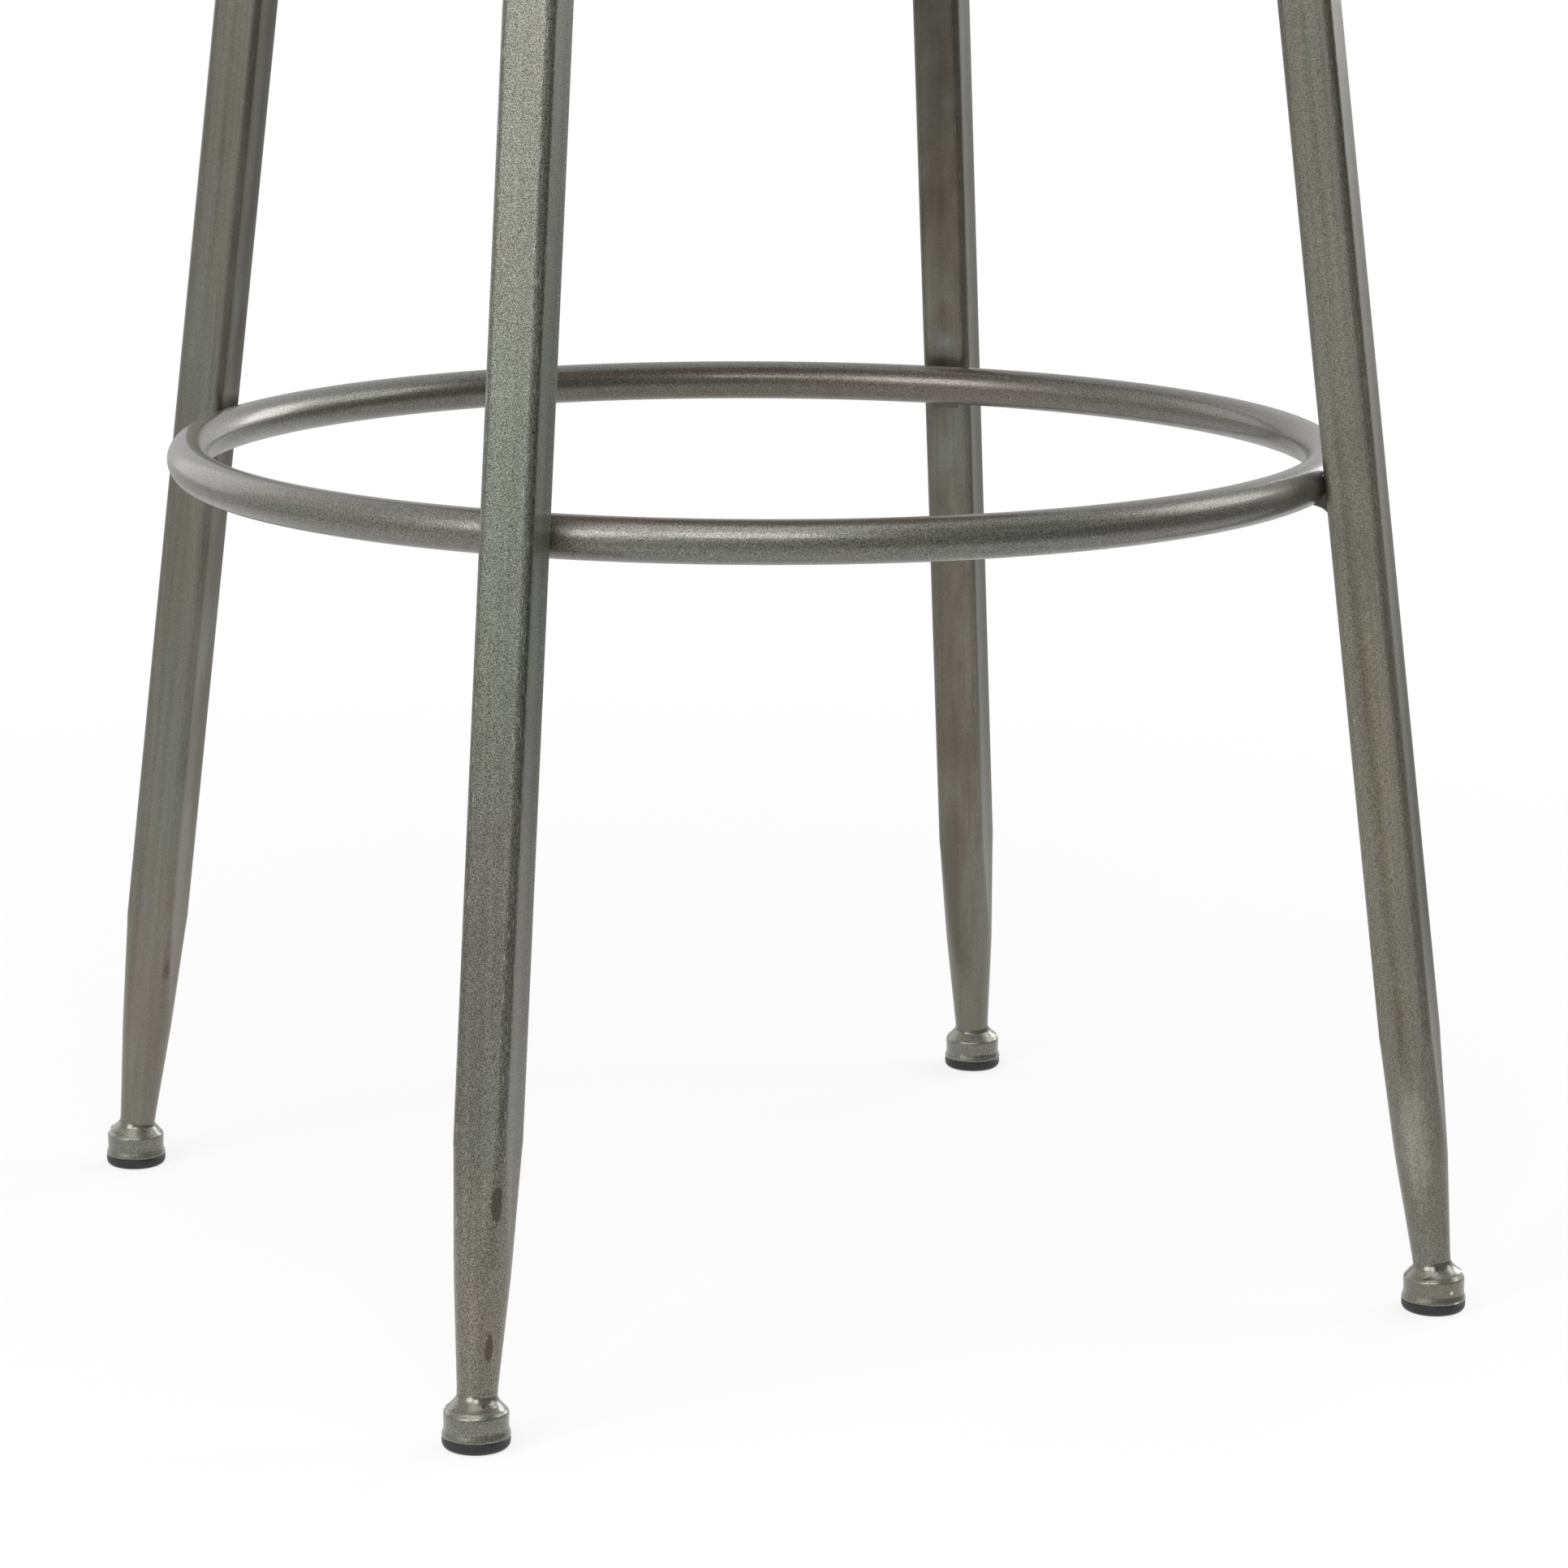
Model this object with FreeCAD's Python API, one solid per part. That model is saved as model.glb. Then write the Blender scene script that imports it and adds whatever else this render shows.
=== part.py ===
import FreeCAD, Part
import math
import os

# A backless counter stool, in millimetres.
# The origin is on the floor at the centre of the four feet, +Z is up and the front is towards -Y.

# Whole stool
seat_height = 660.0
foot_circle_radius = 277.8
leg_lean_deg = 7.27
leg_azimuths_deg = {
    "front_left": 225.0,
    "front_right": 315.0,
    "rear_right": 45.0,
    "rear_left": 135.0,
}
fit_up_gap = 0.3
weld_clearance = 0.05
cut_overrun = 5.0

# Legs: square tube with rounded corners, swaged at the foot.
# The corners are drawn in until the section is round, and from there a cone runs down to the neck.
leg_width = 20.3
leg_corner_radius = 3.5
leg_wall = 1.2
neck_diameter = 14.4
neck_height = 20.0
round_height = 62.0
taper_height = 110.0
round_flat_deg = 12.0

# Foot cups: bell-shaped steel pressings
cup_height = 12.4
cup_wall = 1.5
cup_lip_radius = 12.3
cup_waist_radius = 11.6
cup_lip_rise = 3.4
cup_shoulder_radius = 11.7
cup_shoulder_rise = 8.0
cup_shoulder_round = 1.6
cup_top_radius = 8.4

# Glides: moulded discs with a spigot that fills the cup
glide_height = 4.6
glide_inset = 0.1
glide_edge_radius = 2.6
glide_spigot_clearance = 0.15
glide_spigot_height = 8.0
glide_spigot_chamfer = 1.0

# Weld fillets between the necks and the cups
neck_weld_rise = 3.2
neck_weld_spread = 2.5
neck_weld_foot = 0.8
neck_weld_hollow_share = 0.35

# Foot ring: round tube rolled into a circle, butt welded
ring_height = 316.0
ring_tube_diameter = 16.0
ring_tube_wall = 1.2
ring_seam_width = 2.0
ring_seam_offset = 16.5
ring_bead_radius = 2.2
ring_bead_end_gap = 0.2
ring_bead_reach_share = 0.66
ring_bead_stand_off = 1.0

# Fillets under the foot ring, as shares of its tube's radius and of the leg's flat.
# A pair of shares is how far off the leg and how far below the ring's centre a point lies.
ring_fillet_toe_share = 1.56
ring_fillet_hollow_shares = (0.24, 1.16)
ring_fillet_end_shares = (0.8, 0.92)
ring_fillet_root_share = 0.38
ring_fillet_length_share = 0.8

# Seat hoop: flat bar rolled on edge, butt welded
hoop_depth = 25.0
hoop_thickness = 4.0
hoop_seam_width = 2.0
hoop_seam_azimuth_deg = 112.0
hoop_bead_radius = 3.7
hoop_bead_inset = 2.0

# Straps: flat bars that cross inside the hoop and carry the seat screws
strap_width = 30.0
strap_thickness = 4.0
strap_bead_radius = 2.6
strap_bead_length = 24.0

# Plugs in the leg tops
plug_flange = 1.5
plug_depth = 14.0
plug_clearance = 0.15

# Seat: a round board of glued staves with a shallow dish
seat_thickness = 30.0
seat_overhang = 6.4
seat_top_round = 8.0
seat_bottom_round = 4.0
seat_dish_depth = 6.0
seat_dish_hollow_share = 0.72
stave_count = 5

# Seat screws and their washers
screw_shank_radius = 2.2
screw_length = 22.0
screw_tip_length = 4.0
screw_head_radius = 4.3
screw_head_height = 2.8
screw_head_edge = 0.8
screw_radius_shares = (0.34, 0.76)
screw_hole_clearance = 0.4
screw_pilot_clearance = 0.1
washer_radius = 5.6
washer_thickness = 1.0

# Heights and radii worked out from the sizes above
lean = math.radians(leg_lean_deg)
cup_top_height = glide_height + cup_height
pivot_height = glide_height + cup_height / 2
seat_underside = seat_height - seat_thickness
leg_top_height = seat_underside - plug_flange
neck_radius = neck_diameter / 2
ring_tube_radius = ring_tube_diameter / 2
strap_underside = seat_underside - strap_thickness
hoop_underside = seat_underside - hoop_depth

ORIGIN = FreeCAD.Vector(0, 0, 0)
X_AXIS = FreeCAD.Vector(1, 0, 0)
Y_AXIS = FreeCAD.Vector(0, 1, 0)
Z_AXIS = FreeCAD.Vector(0, 0, 1)


def axis_radius(height):
    """Distance of a leg's axis from the stool's axis at a height."""
    return foot_circle_radius - (height - pivot_height) * math.tan(lean)


def inner_face_radius(height):
    """Distance of a leg's inner face from the stool's axis at a height."""
    return axis_radius(height) - leg_width / 2 / math.cos(lean)


def outer_face_radius(height):
    """Distance of a leg's outer face from the stool's axis at a height."""
    return axis_radius(height) + leg_width / 2 / math.cos(lean)


ring_radius = inner_face_radius(ring_height) - (ring_tube_radius + fit_up_gap) / math.cos(lean)
hoop_outer_radius = inner_face_radius(seat_underside) - fit_up_gap
hoop_inner_radius = hoop_outer_radius - hoop_thickness
strap_end_radius = hoop_inner_radius - fit_up_gap
seat_radius = outer_face_radius(seat_underside) + seat_overhang


def line(start, end):
    """Straight edge between two points."""
    return Part.LineSegment(start, end).toShape()


def arc(start, middle, end):
    """Circular edge through three points."""
    return Part.Arc(start, middle, end).toShape()


def polar(radius, angle, height):
    """Point at a radius and an angle about Z, at a height."""
    return FreeCAD.Vector(radius * math.cos(angle), radius * math.sin(angle), height)


def profile_point(radius, height):
    """Point of an outline that is revolved about Z."""
    return FreeCAD.Vector(radius, 0, height)


def revolved(edges, angle_deg=360.0):
    """Solid made by turning a closed outline about Z."""
    face = Part.Face(Part.Wire(edges))
    return face.revolve(ORIGIN, Z_AXIS, angle_deg)


def polygon_edges(points):
    """Straight edges that join the points in order, open at the end."""
    return [line(points[i], points[i + 1]) for i in range(len(points) - 1)]


def square_section(half, corner, height):
    """Outline of the square tube: four flats joined by four corner arcs."""
    edges = []
    flat = half - corner
    for turn in range(4):
        angle = turn * math.pi / 2
        matrix = FreeCAD.Rotation(Z_AXIS, math.degrees(angle))
        start = matrix.multVec(FreeCAD.Vector(half, -flat, height))
        end = matrix.multVec(FreeCAD.Vector(half, flat, height))
        centre = FreeCAD.Vector(flat, flat, height)
        middle = matrix.multVec(centre + polar(corner, math.pi / 4, 0))
        next_start = matrix.multVec(FreeCAD.Vector(flat, half, height))
        edges.append(line(start, end))
        edges.append(arc(end, middle, next_start))
    return Part.Wire(edges)


def round_section(radius, height):
    """Round outline of the swaged end, split to match the flats and corners of the square."""
    edges = []
    half_flat = math.radians(round_flat_deg) / 2
    for turn in range(4):
        angle = turn * math.pi / 2
        stops = (angle - half_flat, angle + half_flat, angle + math.pi / 2 - half_flat)
        for first, last in zip(stops, stops[1:]):
            middle = polar(radius, (first + last) / 2, height)
            edges.append(arc(polar(radius, first, height), middle, polar(radius, last, height)))
    return Part.Wire(edges)


def along_leg(height):
    """Distance along a leg's axis from its pivot to a height."""
    return (height - pivot_height) / math.cos(lean)


def leaned(shape):
    """Shape built about Z, laid along the axis of a leg that stands on +X."""
    shape.rotate(ORIGIN, Y_AXIS, -leg_lean_deg)
    shape.translate(FreeCAD.Vector(foot_circle_radius, 0, pivot_height))
    return shape


def on_foot(shape):
    """Shape built about Z, moved to the centre of a foot that stands on +X."""
    shape.translate(FreeCAD.Vector(foot_circle_radius, 0, 0))
    return shape


def slab(low, high):
    """Level slab between two heights, wide enough for the whole stool."""
    reach = foot_circle_radius + seat_radius
    corner = FreeCAD.Vector(-reach, -reach, low)
    return Part.makeBox(2 * reach, 2 * reach, high - low, corner)


def swaged_body(inset):
    """Leg as a solid, drawn in from the outside by an inset: neck, cone, swaged corners and square bar."""
    half = leg_width / 2 - inset
    radius = neck_radius - inset
    neck_end = along_leg(neck_height)
    round_end = along_leg(round_height)
    square_end = along_leg(taper_height)
    bar_end = along_leg(seat_underside) + cut_overrun
    square = square_section(half, leg_corner_radius - inset, square_end)
    neck = Part.makeCylinder(radius, neck_end)
    cone = Part.makeCone(radius, half, round_end - neck_end, profile_point(0, neck_end), Z_AXIS)
    shoulder = Part.makeLoft([round_section(half, round_end), square], True, True)
    bar = Part.Face(square).extrude(Z_AXIS * (bar_end - square_end))
    return leaned(neck.fuse([cone, shoulder, bar]))


def leg_envelope():
    """Outside of a leg, from the top of the cup to the underside of the seat."""
    return swaged_body(0).common(slab(cup_top_height, seat_underside))


def leg_room():
    """Space that a leg takes out of the weld beads against it."""
    return swaged_body(-weld_clearance)


def ring_room():
    """Space that the foot ring takes out of the weld beads against it."""
    radius = ring_tube_radius + weld_clearance
    return Part.makeTorus(ring_radius, radius, profile_point(0, ring_height), Z_AXIS)


def leg():
    """Hollow swaged leg, cut level at both ends."""
    tube = swaged_body(0).cut(swaged_body(leg_wall))
    return tube.common(slab(cup_top_height, leg_top_height))


def cup_points(inset):
    """Corners of the cup's bell outline, drawn in by an inset: lip, waist, shoulder, rim and top."""
    top = cup_top_height - inset
    return [
        profile_point(cup_lip_radius - inset, glide_height),
        profile_point(cup_waist_radius - inset, glide_height + cup_lip_rise),
        profile_point(cup_shoulder_radius - inset, glide_height + cup_shoulder_rise),
        profile_point(cup_top_radius - inset, top),
        profile_point(0, top),
    ]


def cup_envelope():
    """Outside of a cup as a solid, with a rounded shoulder."""
    lip, waist, shoulder, rim, top = cup_points(0)
    bend = math.pi / 4
    round_centre = shoulder - X_AXIS * cup_shoulder_round
    middle = round_centre + profile_point(math.cos(bend / 2), math.sin(bend / 2)) * cup_shoulder_round
    end = round_centre + profile_point(math.cos(bend), math.sin(bend)) * cup_shoulder_round
    edges = polygon_edges([end, rim, top, profile_point(0, glide_height), lip, waist, shoulder])
    return on_foot(revolved(edges + [arc(shoulder, middle, end)]))


def foot_cup():
    """Pressed cup, open below."""
    points = cup_points(cup_wall) + [profile_point(0, glide_height)]
    return cup_envelope().cut(on_foot(revolved(polygon_edges(points + points[:1]))))


def foot_glide():
    """Disc with a rounded lower edge, and a spigot inside the cup."""
    radius = cup_lip_radius - glide_inset
    bend = glide_edge_radius * (1 - math.sqrt(0.5))
    spigot_radius = cup_waist_radius - cup_wall - glide_spigot_clearance
    spigot_top = glide_height + glide_spigot_height
    flat_edge = profile_point(radius - glide_edge_radius, 0)
    edge_middle = profile_point(radius - bend, bend)
    edge_top = profile_point(radius, glide_edge_radius)
    points = [
        edge_top,
        profile_point(radius, glide_height),
        profile_point(spigot_radius, glide_height),
        profile_point(spigot_radius, spigot_top - glide_spigot_chamfer),
        profile_point(spigot_radius - glide_spigot_chamfer, spigot_top),
        profile_point(0, spigot_top),
        profile_point(0, 0),
        flat_edge,
    ]
    return on_foot(revolved(polygon_edges(points) + [arc(flat_edge, edge_middle, edge_top)]))


def foot_weld():
    """Concave fillet round the neck, down to the shoulder of the cup."""
    base = along_leg(cup_top_height)
    top = base + neck_weld_rise
    outer = neck_radius + neck_weld_spread
    inner = neck_radius - leg_wall
    low = base - neck_weld_foot
    head = profile_point(neck_radius, top)
    toe = profile_point(outer, low)
    hollow = neck_weld_hollow_share
    waist_radius = neck_radius + neck_weld_spread * hollow
    waist = profile_point(waist_radius, low + (top - low) * hollow)
    points = [
        toe,
        profile_point(outer + neck_weld_foot, base - cup_height / 3),
        profile_point(inner, base - cup_height / 3),
        profile_point(inner, top),
        head,
    ]
    bead = leaned(revolved(polygon_edges(points) + [arc(head, waist, toe)]))
    return bead.cut(cup_envelope()).cut(leg_room())


def leg_plug():
    """Plug in a leg's top: a level flange on the tube's end and a spigot down the bore."""
    half = leg_width / 2 - leg_wall - plug_clearance
    corner = leg_corner_radius - leg_wall - plug_clearance
    low = along_leg(leg_top_height - plug_depth)
    high = along_leg(seat_underside) + cut_overrun
    spigot = leaned(Part.Face(square_section(half, corner, low)).extrude(Z_AXIS * (high - low)))
    flange = leg_envelope().common(slab(leg_top_height, seat_underside))
    return spigot.common(slab(0, leg_top_height)).fuse(flange).removeSplitter()


def tube_sector(start_deg, sweep_deg):
    """Stretch of the foot ring's tube, from one azimuth through a sweep."""
    centre = profile_point(ring_radius, ring_height)
    outer = Part.Wire(Part.Circle(centre, Y_AXIS, ring_tube_radius).toShape())
    bore = Part.Wire(Part.Circle(centre, Y_AXIS, ring_tube_radius - ring_tube_wall).toShape())
    section = Part.Face(outer).cut(Part.Face(bore)).Faces[0]
    tube = section.revolve(ORIGIN, Z_AXIS, sweep_deg)
    tube.rotate(ORIGIN, Z_AXIS, start_deg)
    return tube


def ring_seam_angles():
    """Azimuth where the foot ring's seam starts, and the angle that it covers."""
    sweep = math.degrees(ring_seam_width / ring_radius)
    middle = leg_azimuths_deg["front_left"] + math.degrees(ring_seam_offset / ring_radius)
    return middle - sweep / 2, sweep


def foot_ring():
    """Rolled tube, open at its seam."""
    start, sweep = ring_seam_angles()
    return tube_sector(start + sweep, 360.0 - sweep)


def foot_ring_seam_weld():
    """Weld that closes the foot ring, ground flush."""
    start, sweep = ring_seam_angles()
    return tube_sector(start, sweep)


def rounded_rod(radius, length, centre):
    """Rod with round ends, lying along Y."""
    start = centre - Y_AXIS * (length / 2)
    rod = Part.makeCylinder(radius, length, start, Y_AXIS)
    for end in (start, start + Y_AXIS * length):
        rod = rod.fuse(Part.makeSphere(radius, end))
    return rod


def fillet_point(stand_off, drop):
    """Point off a leg's inner face and below the foot ring's centre, in the leg's own axes."""
    rise = (ring_height - pivot_height) * math.cos(lean)
    level = rise + (foot_circle_radius - ring_radius) * math.sin(lean)
    return profile_point(-leg_width / 2 - stand_off, level - drop)


def ring_fillet(length):
    """Hollow fillet in the corner under the foot ring, before the ring and the leg are cut out of it."""
    reach, depth = [share * ring_tube_radius for share in ring_fillet_end_shares]
    hollow_reach, hollow_depth = [share * ring_tube_radius for share in ring_fillet_hollow_shares]
    root = ring_tube_radius * ring_fillet_root_share
    toe = fillet_point(-fit_up_gap, ring_tube_radius * ring_fillet_toe_share)
    end = fillet_point(reach, depth)
    edges = polygon_edges([end, fillet_point(reach, root), fillet_point(-fit_up_gap, root), toe])
    edges.append(arc(toe, fillet_point(hollow_reach, hollow_depth), end))
    fillet = Part.Face(Part.Wire(edges)).extrude(Y_AXIS * length)
    fillet.translate(Y_AXIS * (-length / 2))
    return leaned(fillet)


def ring_weld():
    """Bead above the foot ring and fillet below it, against a leg's inner face."""
    flat = leg_width - 2 * leg_corner_radius
    length = flat - 2 * (ring_bead_radius + ring_bead_end_gap)
    height = ring_height + ring_tube_radius * ring_bead_reach_share
    centre = profile_point(inner_face_radius(height) - ring_bead_stand_off, height)
    beads = []
    for bead in (rounded_rod(ring_bead_radius, length, centre), ring_fillet(flat * ring_fillet_length_share)):
        beads += bead.cut(ring_room()).cut(leg_room()).Solids
    return Part.makeCompound(beads)


def hoop_sector(start_deg, sweep_deg):
    """Stretch of the flat-bar hoop, from one azimuth through a sweep."""
    corners = [
        profile_point(hoop_inner_radius, hoop_underside),
        profile_point(hoop_outer_radius, hoop_underside),
        profile_point(hoop_outer_radius, seat_underside),
        profile_point(hoop_inner_radius, seat_underside),
    ]
    bar = revolved(polygon_edges(corners + corners[:1]), sweep_deg)
    bar.rotate(ORIGIN, Z_AXIS, start_deg)
    return bar


def hoop_seam_sweep():
    """Angle that the hoop's seam covers."""
    return math.degrees(hoop_seam_width / hoop_outer_radius)


def seat_hoop():
    """Rolled flat bar under the seat, open at its seam."""
    sweep = hoop_seam_sweep()
    return hoop_sector(hoop_seam_azimuth_deg + sweep, 360.0 - sweep)


def seat_hoop_seam_weld():
    """Weld that closes the hoop, ground flush."""
    return hoop_sector(hoop_seam_azimuth_deg, hoop_seam_sweep())


def hoop_weld():
    """Two upright beads, one on each edge of a leg's inner face, against the hoop."""
    solid_hoop = hoop_sector(0, 360.0)
    low = along_leg(hoop_underside + hoop_bead_inset)
    high = along_leg(seat_underside - hoop_bead_inset - plug_flange)
    solids = []
    for side in (1, -1):
        foot = FreeCAD.Vector(-leg_width / 2, side * leg_width / 2, low)
        bead = leaned(Part.makeCylinder(hoop_bead_radius, high - low, foot, Z_AXIS))
        solids += bead.cut(solid_hoop).cut(leg_room()).Solids
    return Part.makeCompound(solids)


def screw_places():
    """Centres of the seat screws, on the four arms of the straps."""
    places = []
    for turn in range(4):
        for share in screw_radius_shares:
            places.append(polar(strap_end_radius * share, turn * math.pi / 2, 0))
    return places


def drilled(shape, radius, low, high):
    """Shape with an upright hole at each seat screw."""
    for place in screw_places():
        start = FreeCAD.Vector(place.x, place.y, low)
        shape = shape.cut(Part.makeCylinder(radius, high - low, start, Z_AXIS))
    return shape


def strap_between(start, end):
    """Strap along X between two distances from the stool's axis, coped to the hoop."""
    corner = FreeCAD.Vector(start, -strap_width / 2, strap_underside)
    bar = Part.makeBox(end - start, strap_width, strap_thickness, corner)
    coping = Part.makeCylinder(strap_end_radius, strap_thickness, profile_point(0, strap_underside), Z_AXIS)
    return bar.common(coping)


def strap_long():
    """Strap right across the hoop, along X."""
    bar = strap_between(-hoop_inner_radius, hoop_inner_radius)
    radius = screw_shank_radius + screw_hole_clearance
    return drilled(bar, radius, strap_underside - cut_overrun, seat_underside + cut_overrun)


def strap_half(azimuth_deg):
    """Strap from the long strap's edge out to the hoop."""
    bar = strap_between(strap_width / 2, hoop_inner_radius)
    bar.rotate(ORIGIN, Z_AXIS, azimuth_deg)
    radius = screw_shank_radius + screw_hole_clearance
    return drilled(bar, radius, strap_underside - cut_overrun, seat_underside + cut_overrun)


def strap_end_welds():
    """Four beads under the straps' ends, in the corner with the hoop."""
    bead = rounded_rod(strap_bead_radius, strap_bead_length, profile_point(hoop_inner_radius, strap_underside))
    bead = bead.cut(slab(strap_underside, seat_underside + cut_overrun)).cut(hoop_sector(0, 360.0))
    return Part.makeCompound([turned(bead, turn * 90.0) for turn in range(4)])


def strap_centre_welds():
    """Two beads under the joints of the half straps with the long strap."""
    bead = rounded_rod(strap_bead_radius, strap_bead_length, profile_point(strap_width / 2, strap_underside))
    bead = bead.cut(slab(strap_underside, seat_underside + cut_overrun))
    return Part.makeCompound([turned(bead, azimuth) for azimuth in (90.0, 270.0)])


def dish_edges(rim):
    """Outline of the dish: an arc that eases off the rim, and a tangent arc for the hollow."""
    radii = (rim * rim + seat_dish_depth * seat_dish_depth) / (2 * seat_dish_depth)
    hollow_radius = radii * seat_dish_hollow_share
    ease_radius = radii - hollow_radius
    turn = 2 * math.atan(seat_dish_depth / rim)
    bottom = seat_height - seat_dish_depth
    start = profile_point(rim, seat_height)
    ease_centre = seat_height - ease_radius
    hollow_centre = bottom + hollow_radius
    reach = hollow_radius * math.sin(turn)
    join = profile_point(reach, hollow_centre - hollow_radius * math.cos(turn))
    ease_middle = profile_point(
        rim - ease_radius * math.sin(turn / 2), ease_centre + ease_radius * math.cos(turn / 2))
    hollow_middle = profile_point(
        hollow_radius * math.sin(turn / 2), hollow_centre - hollow_radius * math.cos(turn / 2))
    return [arc(start, ease_middle, join), arc(join, hollow_middle, profile_point(0, bottom))]


def seat_blank():
    """Whole seat board: rounded edges, and a dish that eases into the rim."""
    low = seat_underside
    high = seat_height
    rim = seat_radius - seat_top_round
    top_bend = seat_top_round * (1 - math.sqrt(0.5))
    bottom_bend = seat_bottom_round * (1 - math.sqrt(0.5))
    under_edge = profile_point(seat_radius - seat_bottom_round, low)
    under_middle = profile_point(seat_radius - bottom_bend, low + bottom_bend)
    side_low = profile_point(seat_radius, low + seat_bottom_round)
    side_high = profile_point(seat_radius, high - seat_top_round)
    top_middle = profile_point(seat_radius - top_bend, high - top_bend)
    top_edge = profile_point(rim, high)
    edges = [
        line(profile_point(0, low), under_edge),
        arc(under_edge, under_middle, side_low),
        line(side_low, side_high),
        arc(side_high, top_middle, top_edge),
    ]
    edges += dish_edges(rim)
    edges.append(line(profile_point(0, high - seat_dish_depth), profile_point(0, low)))
    return revolved(edges)


def seat_staves():
    """Staves of the seat, from the front to the back, with pilot holes for the screws."""
    depth = screw_length - strap_thickness - washer_thickness + screw_pilot_clearance
    pilot = screw_shank_radius + screw_pilot_clearance
    blank = drilled(seat_blank(), pilot, seat_underside - cut_overrun, seat_underside + depth)
    width = 2 * seat_radius / stave_count
    staves = []
    for index in range(stave_count):
        corner = FreeCAD.Vector(-seat_radius, -seat_radius + index * width, seat_underside)
        staves.append(blank.common(Part.makeBox(2 * seat_radius, width, seat_thickness, corner)))
    return staves


def screw():
    """Wood screw, point up, with a low domed head under the washer."""
    seat = strap_underside - washer_thickness
    rim_height = seat - screw_head_edge
    crown = seat - screw_head_height
    tip = seat + screw_length
    shank_top = tip - screw_tip_length
    dome_middle = profile_point(screw_head_radius * math.sqrt(0.5), (rim_height + crown) / 2)
    dome_middle.z -= (rim_height - crown) / 4
    points = [
        profile_point(screw_head_radius, rim_height),
        profile_point(screw_head_radius, seat),
        profile_point(screw_shank_radius, seat),
        profile_point(screw_shank_radius, shank_top),
        profile_point(0, tip),
        profile_point(0, crown),
    ]
    return revolved(polygon_edges(points) + [arc(points[-1], dome_middle, points[0])])


def washer():
    """Flat washer under a strap."""
    inner = screw_shank_radius + screw_hole_clearance
    low = strap_underside - washer_thickness
    corners = [
        profile_point(inner, low),
        profile_point(washer_radius, low),
        profile_point(washer_radius, strap_underside),
        profile_point(inner, strap_underside),
    ]
    return revolved(polygon_edges(corners + corners[:1]))


def at_screws(shape):
    """One copy of a shape at each seat screw."""
    copies = []
    for place in screw_places():
        copy = shape.copy()
        copy.translate(place)
        copies.append(copy)
    return Part.makeCompound(copies)


def turned(shape, azimuth_deg):
    """Copy of a shape, turned about the stool's axis."""
    copy = shape.copy()
    copy.rotate(ORIGIN, Z_AXIS, azimuth_deg)
    return copy


def build():
    """All sub-parts by node name."""
    nodes = {}
    per_leg = {
        "leg": leg(),
        "foot_cup": foot_cup(),
        "foot_weld": foot_weld(),
        "foot_glide": foot_glide(),
        "ring_weld": ring_weld(),
        "hoop_weld": hoop_weld(),
        "leg_plug": leg_plug(),
    }
    for name, shape in per_leg.items():
        for corner, azimuth in leg_azimuths_deg.items():
            nodes[name + "_" + corner] = turned(shape, azimuth)
    nodes["foot_ring"] = foot_ring()
    nodes["foot_ring_seam_weld"] = foot_ring_seam_weld()
    nodes["seat_hoop"] = seat_hoop()
    nodes["seat_hoop_seam_weld"] = seat_hoop_seam_weld()
    nodes["seat_strap_long"] = strap_long()
    nodes["seat_strap_rear"] = strap_half(90.0)
    nodes["seat_strap_front"] = strap_half(270.0)
    nodes["strap_end_welds"] = strap_end_welds()
    nodes["strap_centre_welds"] = strap_centre_welds()
    for index, stave in enumerate(seat_staves()):
        nodes["seat_stave_" + str(index + 1)] = stave
    nodes["seat_screws"] = at_screws(screw())
    nodes["seat_washers"] = at_screws(washer())
    return nodes


os.makedirs("parts", exist_ok=True)
for node_name, node_shape in build().items():
    node_shape.exportStep("parts/" + node_name + ".step")
    print(node_name, len(node_shape.Solids), round(node_shape.Volume), node_shape.isValid())
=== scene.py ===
import logging
import math
from collections.abc import Callable
from dataclasses import dataclass
from enum import Enum

import bmesh
import bpy
from bpy.types import Material, NodeSocket, NodeTree, Object, Texture, World
from mathutils import Matrix, Vector


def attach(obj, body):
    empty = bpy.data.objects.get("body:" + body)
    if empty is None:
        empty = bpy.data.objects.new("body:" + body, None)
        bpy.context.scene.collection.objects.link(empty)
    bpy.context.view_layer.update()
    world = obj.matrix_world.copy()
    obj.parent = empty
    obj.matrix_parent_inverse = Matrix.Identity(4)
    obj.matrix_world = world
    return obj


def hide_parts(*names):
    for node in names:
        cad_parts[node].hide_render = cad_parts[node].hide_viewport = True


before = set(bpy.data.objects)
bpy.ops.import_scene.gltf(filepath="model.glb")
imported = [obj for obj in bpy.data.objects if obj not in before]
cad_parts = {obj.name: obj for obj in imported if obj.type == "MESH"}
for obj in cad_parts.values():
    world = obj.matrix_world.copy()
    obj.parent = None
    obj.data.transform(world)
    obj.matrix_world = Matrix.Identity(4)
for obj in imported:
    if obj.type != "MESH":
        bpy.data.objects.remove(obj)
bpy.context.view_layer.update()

# Looks of a backless counter stool: swaged square legs, a welded foot ring and a round board seat.
# Sizes are in millimetres and repeat the part's own; MM turns them to Blender's metres.

MM = 0.001
MERGE_DISTANCE = 0.002
FULL_TURN = 2 * math.pi
GRAIN = "grain"
BODY = "root"
LOG = logging.getLogger("stool")

# Most of a noise lies between these two values.
NOISE_LOW = 0.3
NOISE_HIGH = 0.7

# Inputs of a mix of two colours, which bear the same names as those of other mixes.
COLOUR_A = 6
COLOUR_B = 7

# Angles in degrees from which an edge stays crisp under smooth shading.
TUBE_CREASE = 30.0
BAR_CREASE = 35.0
CUP_CREASE = 40.0
WELD_CREASE = 60.0
STAVE_CREASE = 30.0


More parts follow.
